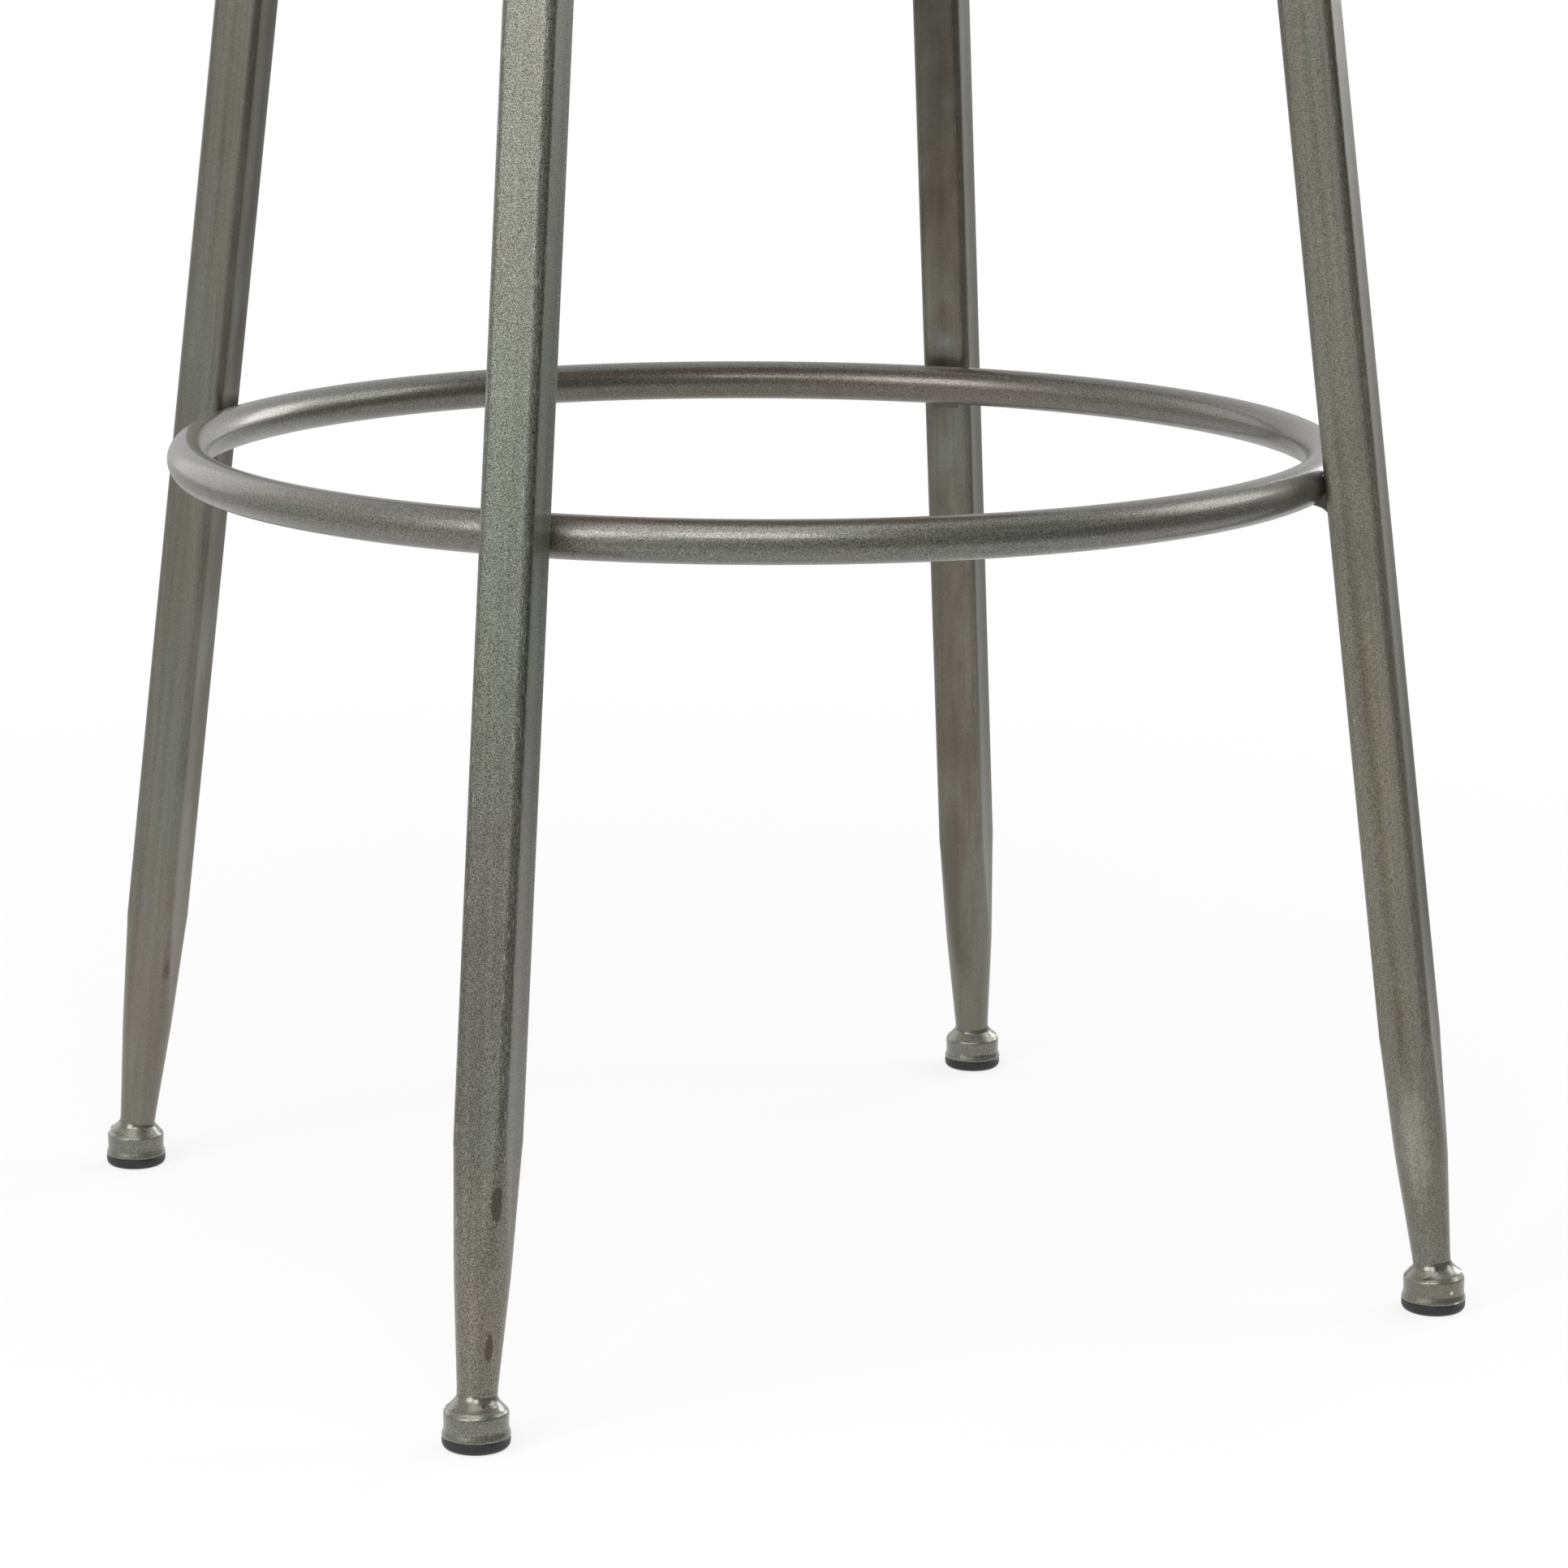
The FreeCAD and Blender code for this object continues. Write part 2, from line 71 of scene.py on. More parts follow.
class Corner(Enum):
    """The four legs, each with its azimuth in degrees."""

    FRONT_LEFT = 225.0
    FRONT_RIGHT = 315.0
    REAR_RIGHT = 45.0
    REAR_LEFT = 135.0

    @property
    def label(self) -> str:
        """Name of the corner as the CAD nodes write it."""
        return self.name.lower()


class Slot(Enum):
    """Material slots of the record."""

    GUNMETAL = "gunmetal"
    WELD = "weld"
    GLIDE = "glide"
    PLUG = "plug"
    SEAT_WOOD = "seat_wood"
    ZINC = "zinc"


# Workshop: selecting, drawing and finishing meshes


def clear_selection() -> None:
    """Leaves edit mode and deselects everything."""
    if bpy.context.mode != "OBJECT":
        bpy.ops.object.mode_set(mode="OBJECT")
    bpy.ops.object.select_all(action="DESELECT")


def hold(piece: Object) -> None:
    """Makes a piece the only selected and active object.

    Args:
        piece: The piece.
    """
    clear_selection()
    piece.select_set(True)
    bpy.context.view_layer.objects.active = piece


def edit(piece: Object) -> None:
    """Opens a piece in edit mode with its whole mesh selected.

    Args:
        piece: The piece.
    """
    hold(piece)
    bpy.ops.object.mode_set(mode="EDIT")
    bpy.ops.mesh.select_all(action="SELECT")


def pick_edges(piece: Object, wanted: Callable[[Vector, Vector], bool]) -> None:
    """Selects edges of the open piece by their two ends.

    Args:
        piece: The piece in edit mode.
        wanted: Says from an edge's two ends, in metres, whether it is picked.
    """
    bpy.ops.mesh.select_mode(type="EDGE")
    bpy.ops.mesh.select_all(action="DESELECT")
    mesh = bmesh.from_edit_mesh(piece.data)
    for edge in mesh.edges:
        edge.select_set(wanted(edge.verts[0].co, edge.verts[1].co))
    bmesh.update_edit_mesh(piece.data)


def pick_points(piece: Object, wanted: Callable[[Vector], bool]) -> None:
    """Selects vertices of the open piece by their place.

    Args:
        piece: The piece in edit mode.
        wanted: Says from a vertex's place, in metres, whether it is picked.
    """
    bpy.ops.mesh.select_mode(type="VERT")
    bpy.ops.mesh.select_all(action="DESELECT")
    mesh = bmesh.from_edit_mesh(piece.data)
    for vertex in mesh.verts:
        vertex.select_set(wanted(vertex.co))
    mesh.select_flush(True)
    bmesh.update_edit_mesh(piece.data)


def close_up(piece: Object) -> None:
    """Merges doubles, closes open ends and turns all faces outwards.

    Args:
        piece: The piece.
    """
    edit(piece)
    bpy.ops.mesh.remove_doubles(threshold=MERGE_DISTANCE * MM)
    bpy.ops.mesh.select_all(action="SELECT")
    bpy.ops.mesh.fill_holes(sides=0)
    bpy.ops.mesh.select_all(action="SELECT")
    bpy.ops.mesh.normals_make_consistent(inside=False)
    clear_selection()


def drawn(points: list[tuple[float, float]], closed: bool = False) -> Object:
    """Outline drawn point by point in the XZ plane.

    Args:
        points: Radius and height of each point, in millimetres.
        closed: Whether the last point is joined to the first.

    Returns:
        An object that holds the outline as edges.
    """
    clear_selection()
    bpy.ops.mesh.primitive_plane_add(size=MM)
    piece = bpy.context.object
    edit(piece)
    bpy.ops.mesh.merge(type="CENTER")
    radius, height = points[0]
    bpy.ops.transform.translate(value=(radius * MM, 0, height * MM))
    for (old_radius, old_height), (radius, height) in zip(points, points[1:]):
        step = ((radius - old_radius) * MM, 0, (height - old_height) * MM)
        bpy.ops.mesh.extrude_vertices_move(TRANSFORM_OT_translate={"value": step})
    if closed:
        mesh = bmesh.from_edit_mesh(piece.data)
        ends = [vertex for vertex in mesh.verts if len(vertex.link_edges) == 1]
        mesh.edges.new(ends)
        bmesh.update_edit_mesh(piece.data)
    return piece


def turned(points: list[tuple[float, float]], steps: int, closed: bool = False) -> Object:
    """Solid of revolution about Z, as from a lathe.

    Args:
        points: Radius and height of each point of the outline, in millimetres.
        steps: Number of faces round the piece.
        closed: Whether the outline is a closed loop clear of the axis.

    Returns:
        The closed solid, with its faces outwards.
    """
    piece = drawn(points, closed)
    bpy.ops.mesh.select_all(action="SELECT")
    bpy.ops.mesh.spin(steps=steps, angle=FULL_TURN, center=(0, 0, 0), axis=(0, 0, 1))
    close_up(piece)
    return piece


def arc_points(
    centre: tuple[float, float], radius: float, start_deg: float, end_deg: float, steps: int
) -> list[tuple[float, float]]:
    """Points on an arc, both ends among them.

    Args:
        centre: Radius and height of the arc's centre.
        radius: Radius of the arc.
        start_deg: Angle of the first point.
        end_deg: Angle of the last point.
        steps: Number of stretches that the arc is divided into.

    Returns:
        Radius and height of each point.
    """
    points = []
    for step in range(steps + 1):
        angle = math.radians(start_deg + (end_deg - start_deg) * step / steps)
        points.append((centre[0] + radius * math.cos(angle), centre[1] + radius * math.sin(angle)))
    return points


def shift(x: float, y: float, z: float) -> Matrix:
    """Move by three distances in millimetres."""
    return Matrix.Translation((x * MM, y * MM, z * MM))


def turn(angle_deg: float, axis: str = "Z") -> Matrix:
    """Turn in degrees about an axis through the origin."""
    return Matrix.Rotation(math.radians(angle_deg), 4, axis)


def laid(piece: Object, place: Matrix) -> Object:
    """Moves a piece and writes the move into its mesh.

    Args:
        piece: The piece, with its object at the origin.
        place: The move, in metres.

    Returns:
        The same piece.
    """
    hold(piece)
    piece.matrix_world = place
    bpy.ops.object.transform_apply(location=True, rotation=True, scale=True)
    return piece


def copied(piece: Object, place: Matrix) -> Object:
    """Copy of a piece with a mesh of its own, moved to a place.

    Args:
        piece: The pattern.
        place: The move, in metres.

    Returns:
        The copy.
    """
    copy = piece.copy()
    copy.data = piece.data.copy()
    bpy.context.scene.collection.objects.link(copy)
    return laid(copy, place)


def joined(pieces: list[Object]) -> Object:
    """Several meshes made one object.

    Args:
        pieces: The pieces; the first takes in the others.

    Returns:
        The first piece.
    """
    hold(pieces[0])
    for piece in pieces[1:]:
        piece.select_set(True)
    bpy.ops.object.join()
    return pieces[0]


def discard(piece: Object) -> None:
    """Removes a pattern or a cutter that isn't part of the stool.

    Args:
        piece: The pattern or cutter.
    """
    mesh = piece.data
    bpy.data.objects.remove(piece)
    bpy.data.meshes.remove(mesh)


def block(size: tuple[float, float, float], place: Matrix) -> Object:
    """Box with its middle at a place.

    Args:
        size: Its three sides in millimetres.
        place: The move from the origin.

    Returns:
        The box.
    """
    clear_selection()
    bpy.ops.mesh.primitive_cube_add(size=MM)
    return laid(bpy.context.object, place @ Matrix.Diagonal((*size, 1)))


def rod(radius: float, length: float, centre: tuple[float, float], faces: int) -> Object:
    """Upright cylinder for cutting with, in the XZ plane.

    Args:
        radius: Its radius.
        length: Its length.
        centre: Distance of its middle from the stool's axis, and its height.
        faces: Number of faces round it.

    Returns:
        The cylinder.
    """
    clear_selection()
    bpy.ops.mesh.primitive_cylinder_add(
        vertices=faces, radius=radius * MM, depth=length * MM, location=(centre[0] * MM, 0, centre[1] * MM))
    return bpy.context.object


def round_cornered(width: float, depth: float, radius: float, steps: int, place: Matrix) -> Object:
    """Outline of a bar or a square tube, open in edit mode.

    Args:
        width: Its first side.
        depth: Its second side.
        radius: Radius of its corners.
        steps: Number of stretches that each corner is divided into.
        place: The move from the XY plane.

    Returns:
        The outline as a closed loop of edges.
    """
    clear_selection()
    bpy.ops.mesh.primitive_plane_add(size=MM)
    loop = laid(bpy.context.object, place @ Matrix.Diagonal((width, depth, 1, 1)))
    edit(loop)
    bpy.ops.mesh.bevel(offset=radius * MM, segments=steps, affect="VERTICES")
    bpy.ops.mesh.select_all(action="SELECT")
    bpy.ops.mesh.delete(type="ONLY_FACE")
    return loop


def saw(piece: Object, point: Vector, away: Vector) -> None:
    """Saws a piece along a plane and closes the cut.

    Args:
        piece: The piece.
        point: A point on the plane, in metres.
        away: Normal of the plane, towards the side that goes.
    """
    edit(piece)
    bpy.ops.mesh.bisect(plane_co=point, plane_no=away, use_fill=True, clear_outer=True)
    clear_selection()


def shaped(piece: Object, kind: str, **settings: object) -> None:
    """Adds a modifier to a piece and applies it.

    Args:
        piece: The piece.
        kind: Type of the modifier.
        settings: The modifier's settings by name.
    """
    hold(piece)
    modifier = piece.modifiers.new(kind.title(), kind)
    for name, value in settings.items():
        setattr(modifier, name, value)
    bpy.ops.object.modifier_apply(modifier=modifier.name)


def cut_with(piece: Object, cutter: Object, operation: str = "DIFFERENCE") -> None:
    """Cuts a piece with another shape, which is used up.

    Args:
        piece: The piece.
        cutter: The other shape.
        operation: Whether the cutter is taken away or what lies in it is kept.
    """
    shaped(piece, "BOOLEAN", operation=operation, object=cutter, solver="EXACT")
    discard(cutter)


def eased(piece: Object, width: float, steps: int, angle: float) -> None:
    """Rounds the edges of a piece that are sharper than an angle.

    Args:
        piece: The piece.
        width: Width of the rounding in millimetres.
        steps: Number of faces across it.
        angle: The angle in radians.
    """
    shaped(piece, "BEVEL", width=width * MM, segments=steps, limit_method="ANGLE", angle_limit=angle)


def mark_grain(piece: Object, rule: Callable[[Vector], Vector]) -> None:
    """Stores where each vertex lies along and across the tube that it is part of.

    Args:
        piece: The piece.
        rule: Gives from a vertex's place the distance along the tube and two distances across it.
    """
    layer = piece.data.attributes.new(GRAIN, "FLOAT_VECTOR", "POINT")
    for vertex, entry in zip(piece.data.vertices, layer.data):
        entry.vector = rule(vertex.co)


def rolled(section: Object, centre: tuple[float, float], start: float, sweep: float, steps: int) -> Object:
    """Stretch of a ring about Z, with its grain along the ring.

    Args:
        section: Its section at azimuth zero, open in edit mode.
        centre: Radius and height of the ring's centre line, in millimetres.
        start: Azimuth of its first end, in radians.
        sweep: Angle that it covers, in radians.
        steps: Number of faces along it.

    Returns:
        The stretch, closed at both ends.
    """
    bpy.ops.mesh.select_all(action="SELECT")
    bpy.ops.mesh.spin(steps=steps, angle=sweep, center=(0, 0, 0), axis=(0, 0, -1))
    close_up(section)
    radius, height = [part * MM for part in centre]

    def grain(point: Vector) -> Vector:
        """Place along the ring, and outwards and upwards across it."""
        along = math.atan2(point.y, point.x) % FULL_TURN * radius
        return Vector((along, math.hypot(point.x, point.y) - radius, point.z - height))

    mark_grain(section, grain)
    return laid(section, Matrix.Rotation(start, 4, "Z"))


def clouds(name: str, size: float) -> Texture:
    """Soft noise for uneven surfaces.

    Args:
        name: Name of the texture.
        size: Size of its lumps in millimetres.

    Returns:
        The texture.
    """
    texture = bpy.data.textures.new(name, "CLOUDS")
    texture.noise_scale = size * MM
    texture.noise_depth = 2
    return texture


def uneven(piece: Object, texture: Texture, depth: float) -> None:
    """Moves the surface in and out by soft noise.

    Args:
        piece: The piece, in its place on the stool, so that no two come out the same.
        texture: The noise.
        depth: Distance between the highest and lowest places, in millimetres.
    """
    shaped(
        piece, "DISPLACE", texture=texture, texture_coords="GLOBAL", direction="NORMAL",
        strength=depth * MM, mid_level=0.5)


def hand_over(
    piece: Object, name: str, nodes: list[str], material: Material, crease_deg: float
) -> None:
    """Shades and dresses a finished piece and puts it on the stool in place of its CAD nodes.

    Args:
        piece: The piece.
        name: Its name.
        nodes: The CAD nodes that it stands for.
        material: Its finish.
        crease_deg: Angle from which its edges stay crisp.
    """
    hold(piece)
    bpy.ops.object.shade_smooth_by_angle(angle=math.radians(crease_deg))
    piece.name = name
    piece.data.name = name
    piece.data.materials.clear()
    piece.data.materials.append(material)
    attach(piece, BODY)
    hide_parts(*nodes)
    LOG.info("%s: %d faces, stands for %s", name, len(piece.data.polygons), ", ".join(nodes))


# Finishes


def linear(code: str) -> tuple[float, float, float, float]:
    """Colour for a shader from an sRGB hex value.

    Args:
        code: Six hex digits.

    Returns:
        Linear red, green and blue, and an alpha of one.
    """
    shares = [int(code[start:start + 2], 16) / 255 for start in (0, 2, 4)]
    red, green, blue = [s / 12.92 if s <= 0.04045 else ((s + 0.055) / 1.055) ** 2.4 for s in shares]
    return (red, green, blue, 1.0)


def add_node(
    tree: NodeTree, kind: str, settings: dict[str | int, object] | None = None, output: str | None = None
) -> NodeSocket | None:
    """Adds a node with its settings and links.

    Args:
        tree: The node tree.
        kind: Type of the node, without the words ShaderNode.
        settings: Values by property name, and values or the sockets that feed it by input.
        output: Name of the output that is wanted, if it isn't the first in use.

    Returns:
        That output, or none where the node has no outputs.
    """
    node = tree.nodes.new("ShaderNode" + kind)
    for name, value in (settings or {}).items():
        if isinstance(value, NodeSocket):
            tree.links.new(value, node.inputs[name])
        elif isinstance(name, str) and hasattr(node, name):
            setattr(node, name, value)
        else:
            node.inputs[name].default_value = value
    if output:
        return node.outputs[output]
    return next((socket for socket in node.outputs if socket.enabled), None)


def emptied(owner: Material | World) -> NodeTree:
    """Node tree of a material or a world, without its first nodes.

    Args:
        owner: The material or the world.

    Returns:
        The tree.
    """
    owner.use_nodes = True
    owner.node_tree.nodes.clear()
    return owner.node_tree


class Finish:
    """A finish of the stool's pieces, made as a node material on their Object coordinates."""

    name: str

    def shade(self, tree: NodeTree, place: NodeSocket) -> dict[str | int, object]:
        """Inputs of the shader, which each finish gives in its own way."""
        raise NotImplementedError

    def build(self) -> Material:
        """Makes the material.

        Returns:
            The material.
        """
        material = bpy.data.materials.new(self.name)
        tree = emptied(material)
        place = add_node(tree, "TexCoord", output="Object")
        shader = add_node(tree, "BsdfPrincipled", self.shade(tree, place))
        add_node(tree, "OutputMaterial", {"Surface": shader})
        return material


@dataclass(frozen=True)
class Mark:
    """Place on the coat, in millimetres along and across the tube or cup that it is on, where it has
    chipped, rubbed or been tinted by heat, or where painted shade and painted highlights lie. Softness is
    how far its edge fades, as a share of it."""

    along: float
    outward: float
    sideways: float
    length: float
    width: float
    colour: str = "4b413b"
    strength: float = 0.85
    softness: float = 0.2


@dataclass(frozen=True)
class Ground:
    """What the patterns of a coat are laid out on: Object coordinates, and the place along and
    across the tube."""

    tree: NodeTree
    place: NodeSocket
    grain: NodeSocket


@dataclass(frozen=True)
class GunmetalCoat(Finish):
    """Gunmetal lacquer, sprayed on steel tube under a clear coat: metal flakes that lie at all
    angles in a warm grey, faint streaks along the tube, brown on the faces that look inwards, partly
    staining and partly painted shade, and pale scratches where the corners have rubbed. Staining, painted
    shade and painted highlights lie under the flakes, marks over them."""

    name: str = "gunmetal_lacquer"
    cool: str = "73756c"
    warm: str = "757266"
    # Brown of the faces that look inwards: partly staining, partly painted shade
    brown: str = "5a4d3f"
    scratch: str = "c4c2b6"
    metallic: float = 0.8
    roughness: float = 0.38
    clear_coat: float = 0.35
    clear_roughness: float = 0.2
    flake_size: float = 0.5
    sparkle_size: float = 0.55
    flake_contrast: float = 0.62
    flake_tilt: float = 0.06
    streak_contrast: float = 0.12
    streak_width: float = 2.4
    streak_length: float = 160.0
    patch_length: float = 150.0
    patch_width: float = 20.0
    blotch_length: float = 60.0
    blotch_width: float = 18.0
    drift: float = 5.0
    half_width: float = 10.15
    inner_start_share: float = 0.75
    inner_end_share: float = 0.95
    scratch_zone: float = 6.9
    scratch_fade: float = 0.6
    scratch_length: float = 6.0
    scratch_width: float = 0.35
    scratch_strength: float = 0.75
    mark_edge: float = 1.5
    mark_ragged: float = 0.9
    mark_grit_share: float = 0.4
    # Marks under the flakes: staining, painted shade and painted highlights
    stains_and_painted_light: tuple[Mark, ...] = ()
    marks: tuple[Mark, ...] = ()

    def shade(self, tree: NodeTree, place: NodeSocket) -> dict[str | int, object]:
        """Inputs of the shader: a body colour with staining, painted shade and painted highlights, flakes
        and streaks, scratches and marks.

        Args:
            tree: The node tree.
            place: Object coordinates.

        Returns:
            Values and sockets by the shader's inputs.
        """
        ground = Ground(tree, place, add_node(tree, "Attribute", {"attribute_name": GRAIN}, "Vector"))
        # Flakes: finer on the real coat, drawn as coarse as they need to be to show
        flakes = add_node(tree, "TexNoise", {
            "Scale": 1 / (self.flake_size * MM), "Detail": 1.0, "Roughness": 0.6, "Vector": place})
        sparkle = add_node(tree, "TexNoise", {
            "Scale": 1 / (self.sparkle_size * MM), "Detail": 2.0, "Roughness": 0.65, "Vector": place})
        flake_light = add_node(tree, "MapRange", {
            "Value": sparkle, "From Min": 0.32, "From Max": 0.68,
            "To Min": 1 - self.flake_contrast, "To Max": 1 + self.flake_contrast})
        streaks = self.drawn_out(ground, self.streak_length, self.streak_width, 3.0)
        streak_light = add_node(tree, "MapRange", {
            "Value": streaks, "From Min": NOISE_LOW, "From Max": NOISE_HIGH,
            "To Min": 1 - self.streak_contrast, "To Max": 1 + self.streak_contrast})
        light = add_node(tree, "Math", {"operation": "MULTIPLY", 0: flake_light, 1: streak_light})
        body = self.tinted_and_shaded(ground)
        # Staining, painted shade and painted highlights, under the flakes
        for lower_mark in self.stains_and_painted_light:
            body = self.marked(ground, body, lower_mark)
        colour = add_node(tree, "VectorMath", {"operation": "SCALE", 0: body, "Scale": light})
        colour = self.scratched(ground, colour)
        for mark in self.marks:
            colour = self.marked(ground, colour, mark)
        tilt = add_node(tree, "Bump", {
            "Strength": 1.0, "Distance": self.flake_tilt * MM, "Height": flakes})
        dull = add_node(tree, "MapRange", {
            "Value": streaks, "From Min": NOISE_LOW, "From Max": NOISE_HIGH,
            "To Min": self.roughness - 0.04, "To Max": self.roughness + 0.05})
        return {
            "Metallic": self.metallic, "Coat Weight": self.clear_coat,
            "Coat Roughness": self.clear_roughness, "Base Color": colour, "Roughness": dull, "Normal": tilt}

    def drawn_out(self, ground: Ground, length: float, width: float, detail: float) -> NodeSocket:
        """Noise drawn out along the tube, which drifts with the place, so that no two tubes match.

        Args:
            ground: What it is laid out on.
            length: Length of its lumps in millimetres.
            width: Their width.
            detail: How much finer noise lies in them.

        Returns:
            The noise, between zero and one.
        """
        drawn_grain = add_node(ground.tree, "VectorMath", {
            "operation": "DIVIDE", 0: ground.grain, 1: (length * MM, width * MM, width * MM)})
        drifted = add_node(ground.tree, "VectorMath", {
            "operation": "MULTIPLY_ADD", 0: ground.place, 1: (self.drift,) * 3, 2: drawn_grain})
        return add_node(ground.tree, "TexNoise", {
            "Scale": 1.0, "Detail": detail, "Roughness": 0.6, "Vector": drifted})

    def tinted_and_shaded(self, ground: Ground) -> NodeSocket:
        """Grey that turns cooler and warmer along the tube, and brown on the faces that look inwards, partly
        staining and partly painted shade.

        Args:
            ground: What it is laid out on.

        Returns:
            The colour.
        """
        tree = ground.tree
        patch_share = add_node(tree, "MapRange", {
            "Value": self.drawn_out(ground, self.patch_length, self.patch_width, 2.0),
            "From Min": 0.36, "From Max": 0.64, "interpolation_type": "SMOOTHSTEP"})
        blotch_share = add_node(tree, "MapRange", {
            "Value": self.drawn_out(ground, self.blotch_length, self.blotch_width, 3.0),
            "From Min": 0.38, "From Max": 0.66, "interpolation_type": "SMOOTHSTEP"})
        # Brown in blotches on the faces that look inwards: partly staining, partly painted shade of the
        # stool's inside
        inward_stain_and_shade = add_node(tree, "MapRange", {
            "Value": add_node(tree, "SeparateXYZ", {"Vector": ground.grain}, "Y"),
            "From Min": -self.half_width * self.inner_start_share * MM,
            "From Max": -self.half_width * self.inner_end_share * MM,
            "To Min": 0.08, "To Max": 0.6, "interpolation_type": "SMOOTHSTEP"})
        stain_and_shade_share = add_node(tree, "Math", {"operation": "MULTIPLY", 0: inward_stain_and_shade, 1: blotch_share})
        body = add_node(tree, "Mix", {
            "data_type": "RGBA", "Factor": patch_share,
            COLOUR_A: linear(self.cool), COLOUR_B: linear(self.warm)})
        return add_node(tree, "Mix", {
            "data_type": "RGBA", "Factor": stain_and_shade_share, COLOUR_A: body, COLOUR_B: linear(self.brown)})

    def scratched(self, ground: Ground, colour: NodeSocket) -> NodeSocket:
        """Colour of the coat with pale scratches along the tube's corners.

        Args:
            ground: What they are laid out on.
            colour: Colour of the whole coat.

        Returns:
            The colour with the scratches.
        """
        tree = ground.tree
        across = add_node(tree, "VectorMath", {"operation": "ABSOLUTE", 0: ground.grain})
        parts = add_node(tree, "SeparateXYZ", {"Vector": across}).node.outputs
        nearer = add_node(tree, "Math", {"operation": "MINIMUM", 0: parts["Y"], 1: parts["Z"]})
        corner = add_node(tree, "MapRange", {
            "Value": nearer, "From Min": (self.scratch_zone - self.scratch_fade) * MM,
            "From Max": self.scratch_zone * MM})
        lines = add_node(tree, "MapRange", {
            "Value": self.drawn_out(ground, self.scratch_length, self.scratch_width, 1.0),
            "From Min": 0.66, "From Max": 0.7, "To Max": self.scratch_strength})
        share = add_node(tree, "Math", {"operation": "MULTIPLY", 0: corner, 1: lines})
        return add_node(tree, "Mix", {
            "data_type": "RGBA", "Factor": share, COLOUR_A: colour, COLOUR_B: linear(self.scratch)})

    def marked(self, ground: Ground, colour: NodeSocket, mark: Mark) -> NodeSocket:
        """Colour of the coat with one mark in it, whose edge is ragged.

        Args:
            ground: What it is laid out on.
            colour: Colour of the whole coat.
            mark: The mark.

        Returns:
            The colour with the mark.
        """
        tree = ground.tree
        centre = (mark.along * MM, mark.outward * MM, mark.sideways * MM)
        size = (mark.length / 2 * MM, mark.width / 2 * MM, mark.width / 2 * MM)
        offset = add_node(tree, "VectorMath", {"operation": "SUBTRACT", 0: ground.grain, 1: centre})
        scaled = add_node(tree, "VectorMath", {"operation": "DIVIDE", 0: offset, 1: size})
        distance = add_node(tree, "VectorMath", {"operation": "LENGTH", 0: scaled})
        ragged = add_node(tree, "TexNoise", {
            "Scale": 1 / (mark.width * self.mark_grit_share * MM), "Detail": 3.0, "Vector": ground.place})
        edge = add_node(tree, "Math", {
            "operation": "MULTIPLY_ADD", 0: ragged, 1: self.mark_ragged, 2: distance})
        share = add_node(tree, "MapRange", {
            "Value": edge, "From Min": self.mark_edge - mark.softness, "From Max": self.mark_edge,
            "To Min": mark.strength, "To Max": 0.0})
        return add_node(tree, "Mix", {
            "data_type": "RGBA", "Factor": share, COLOUR_A: colour, COLOUR_B: linear(mark.colour)})


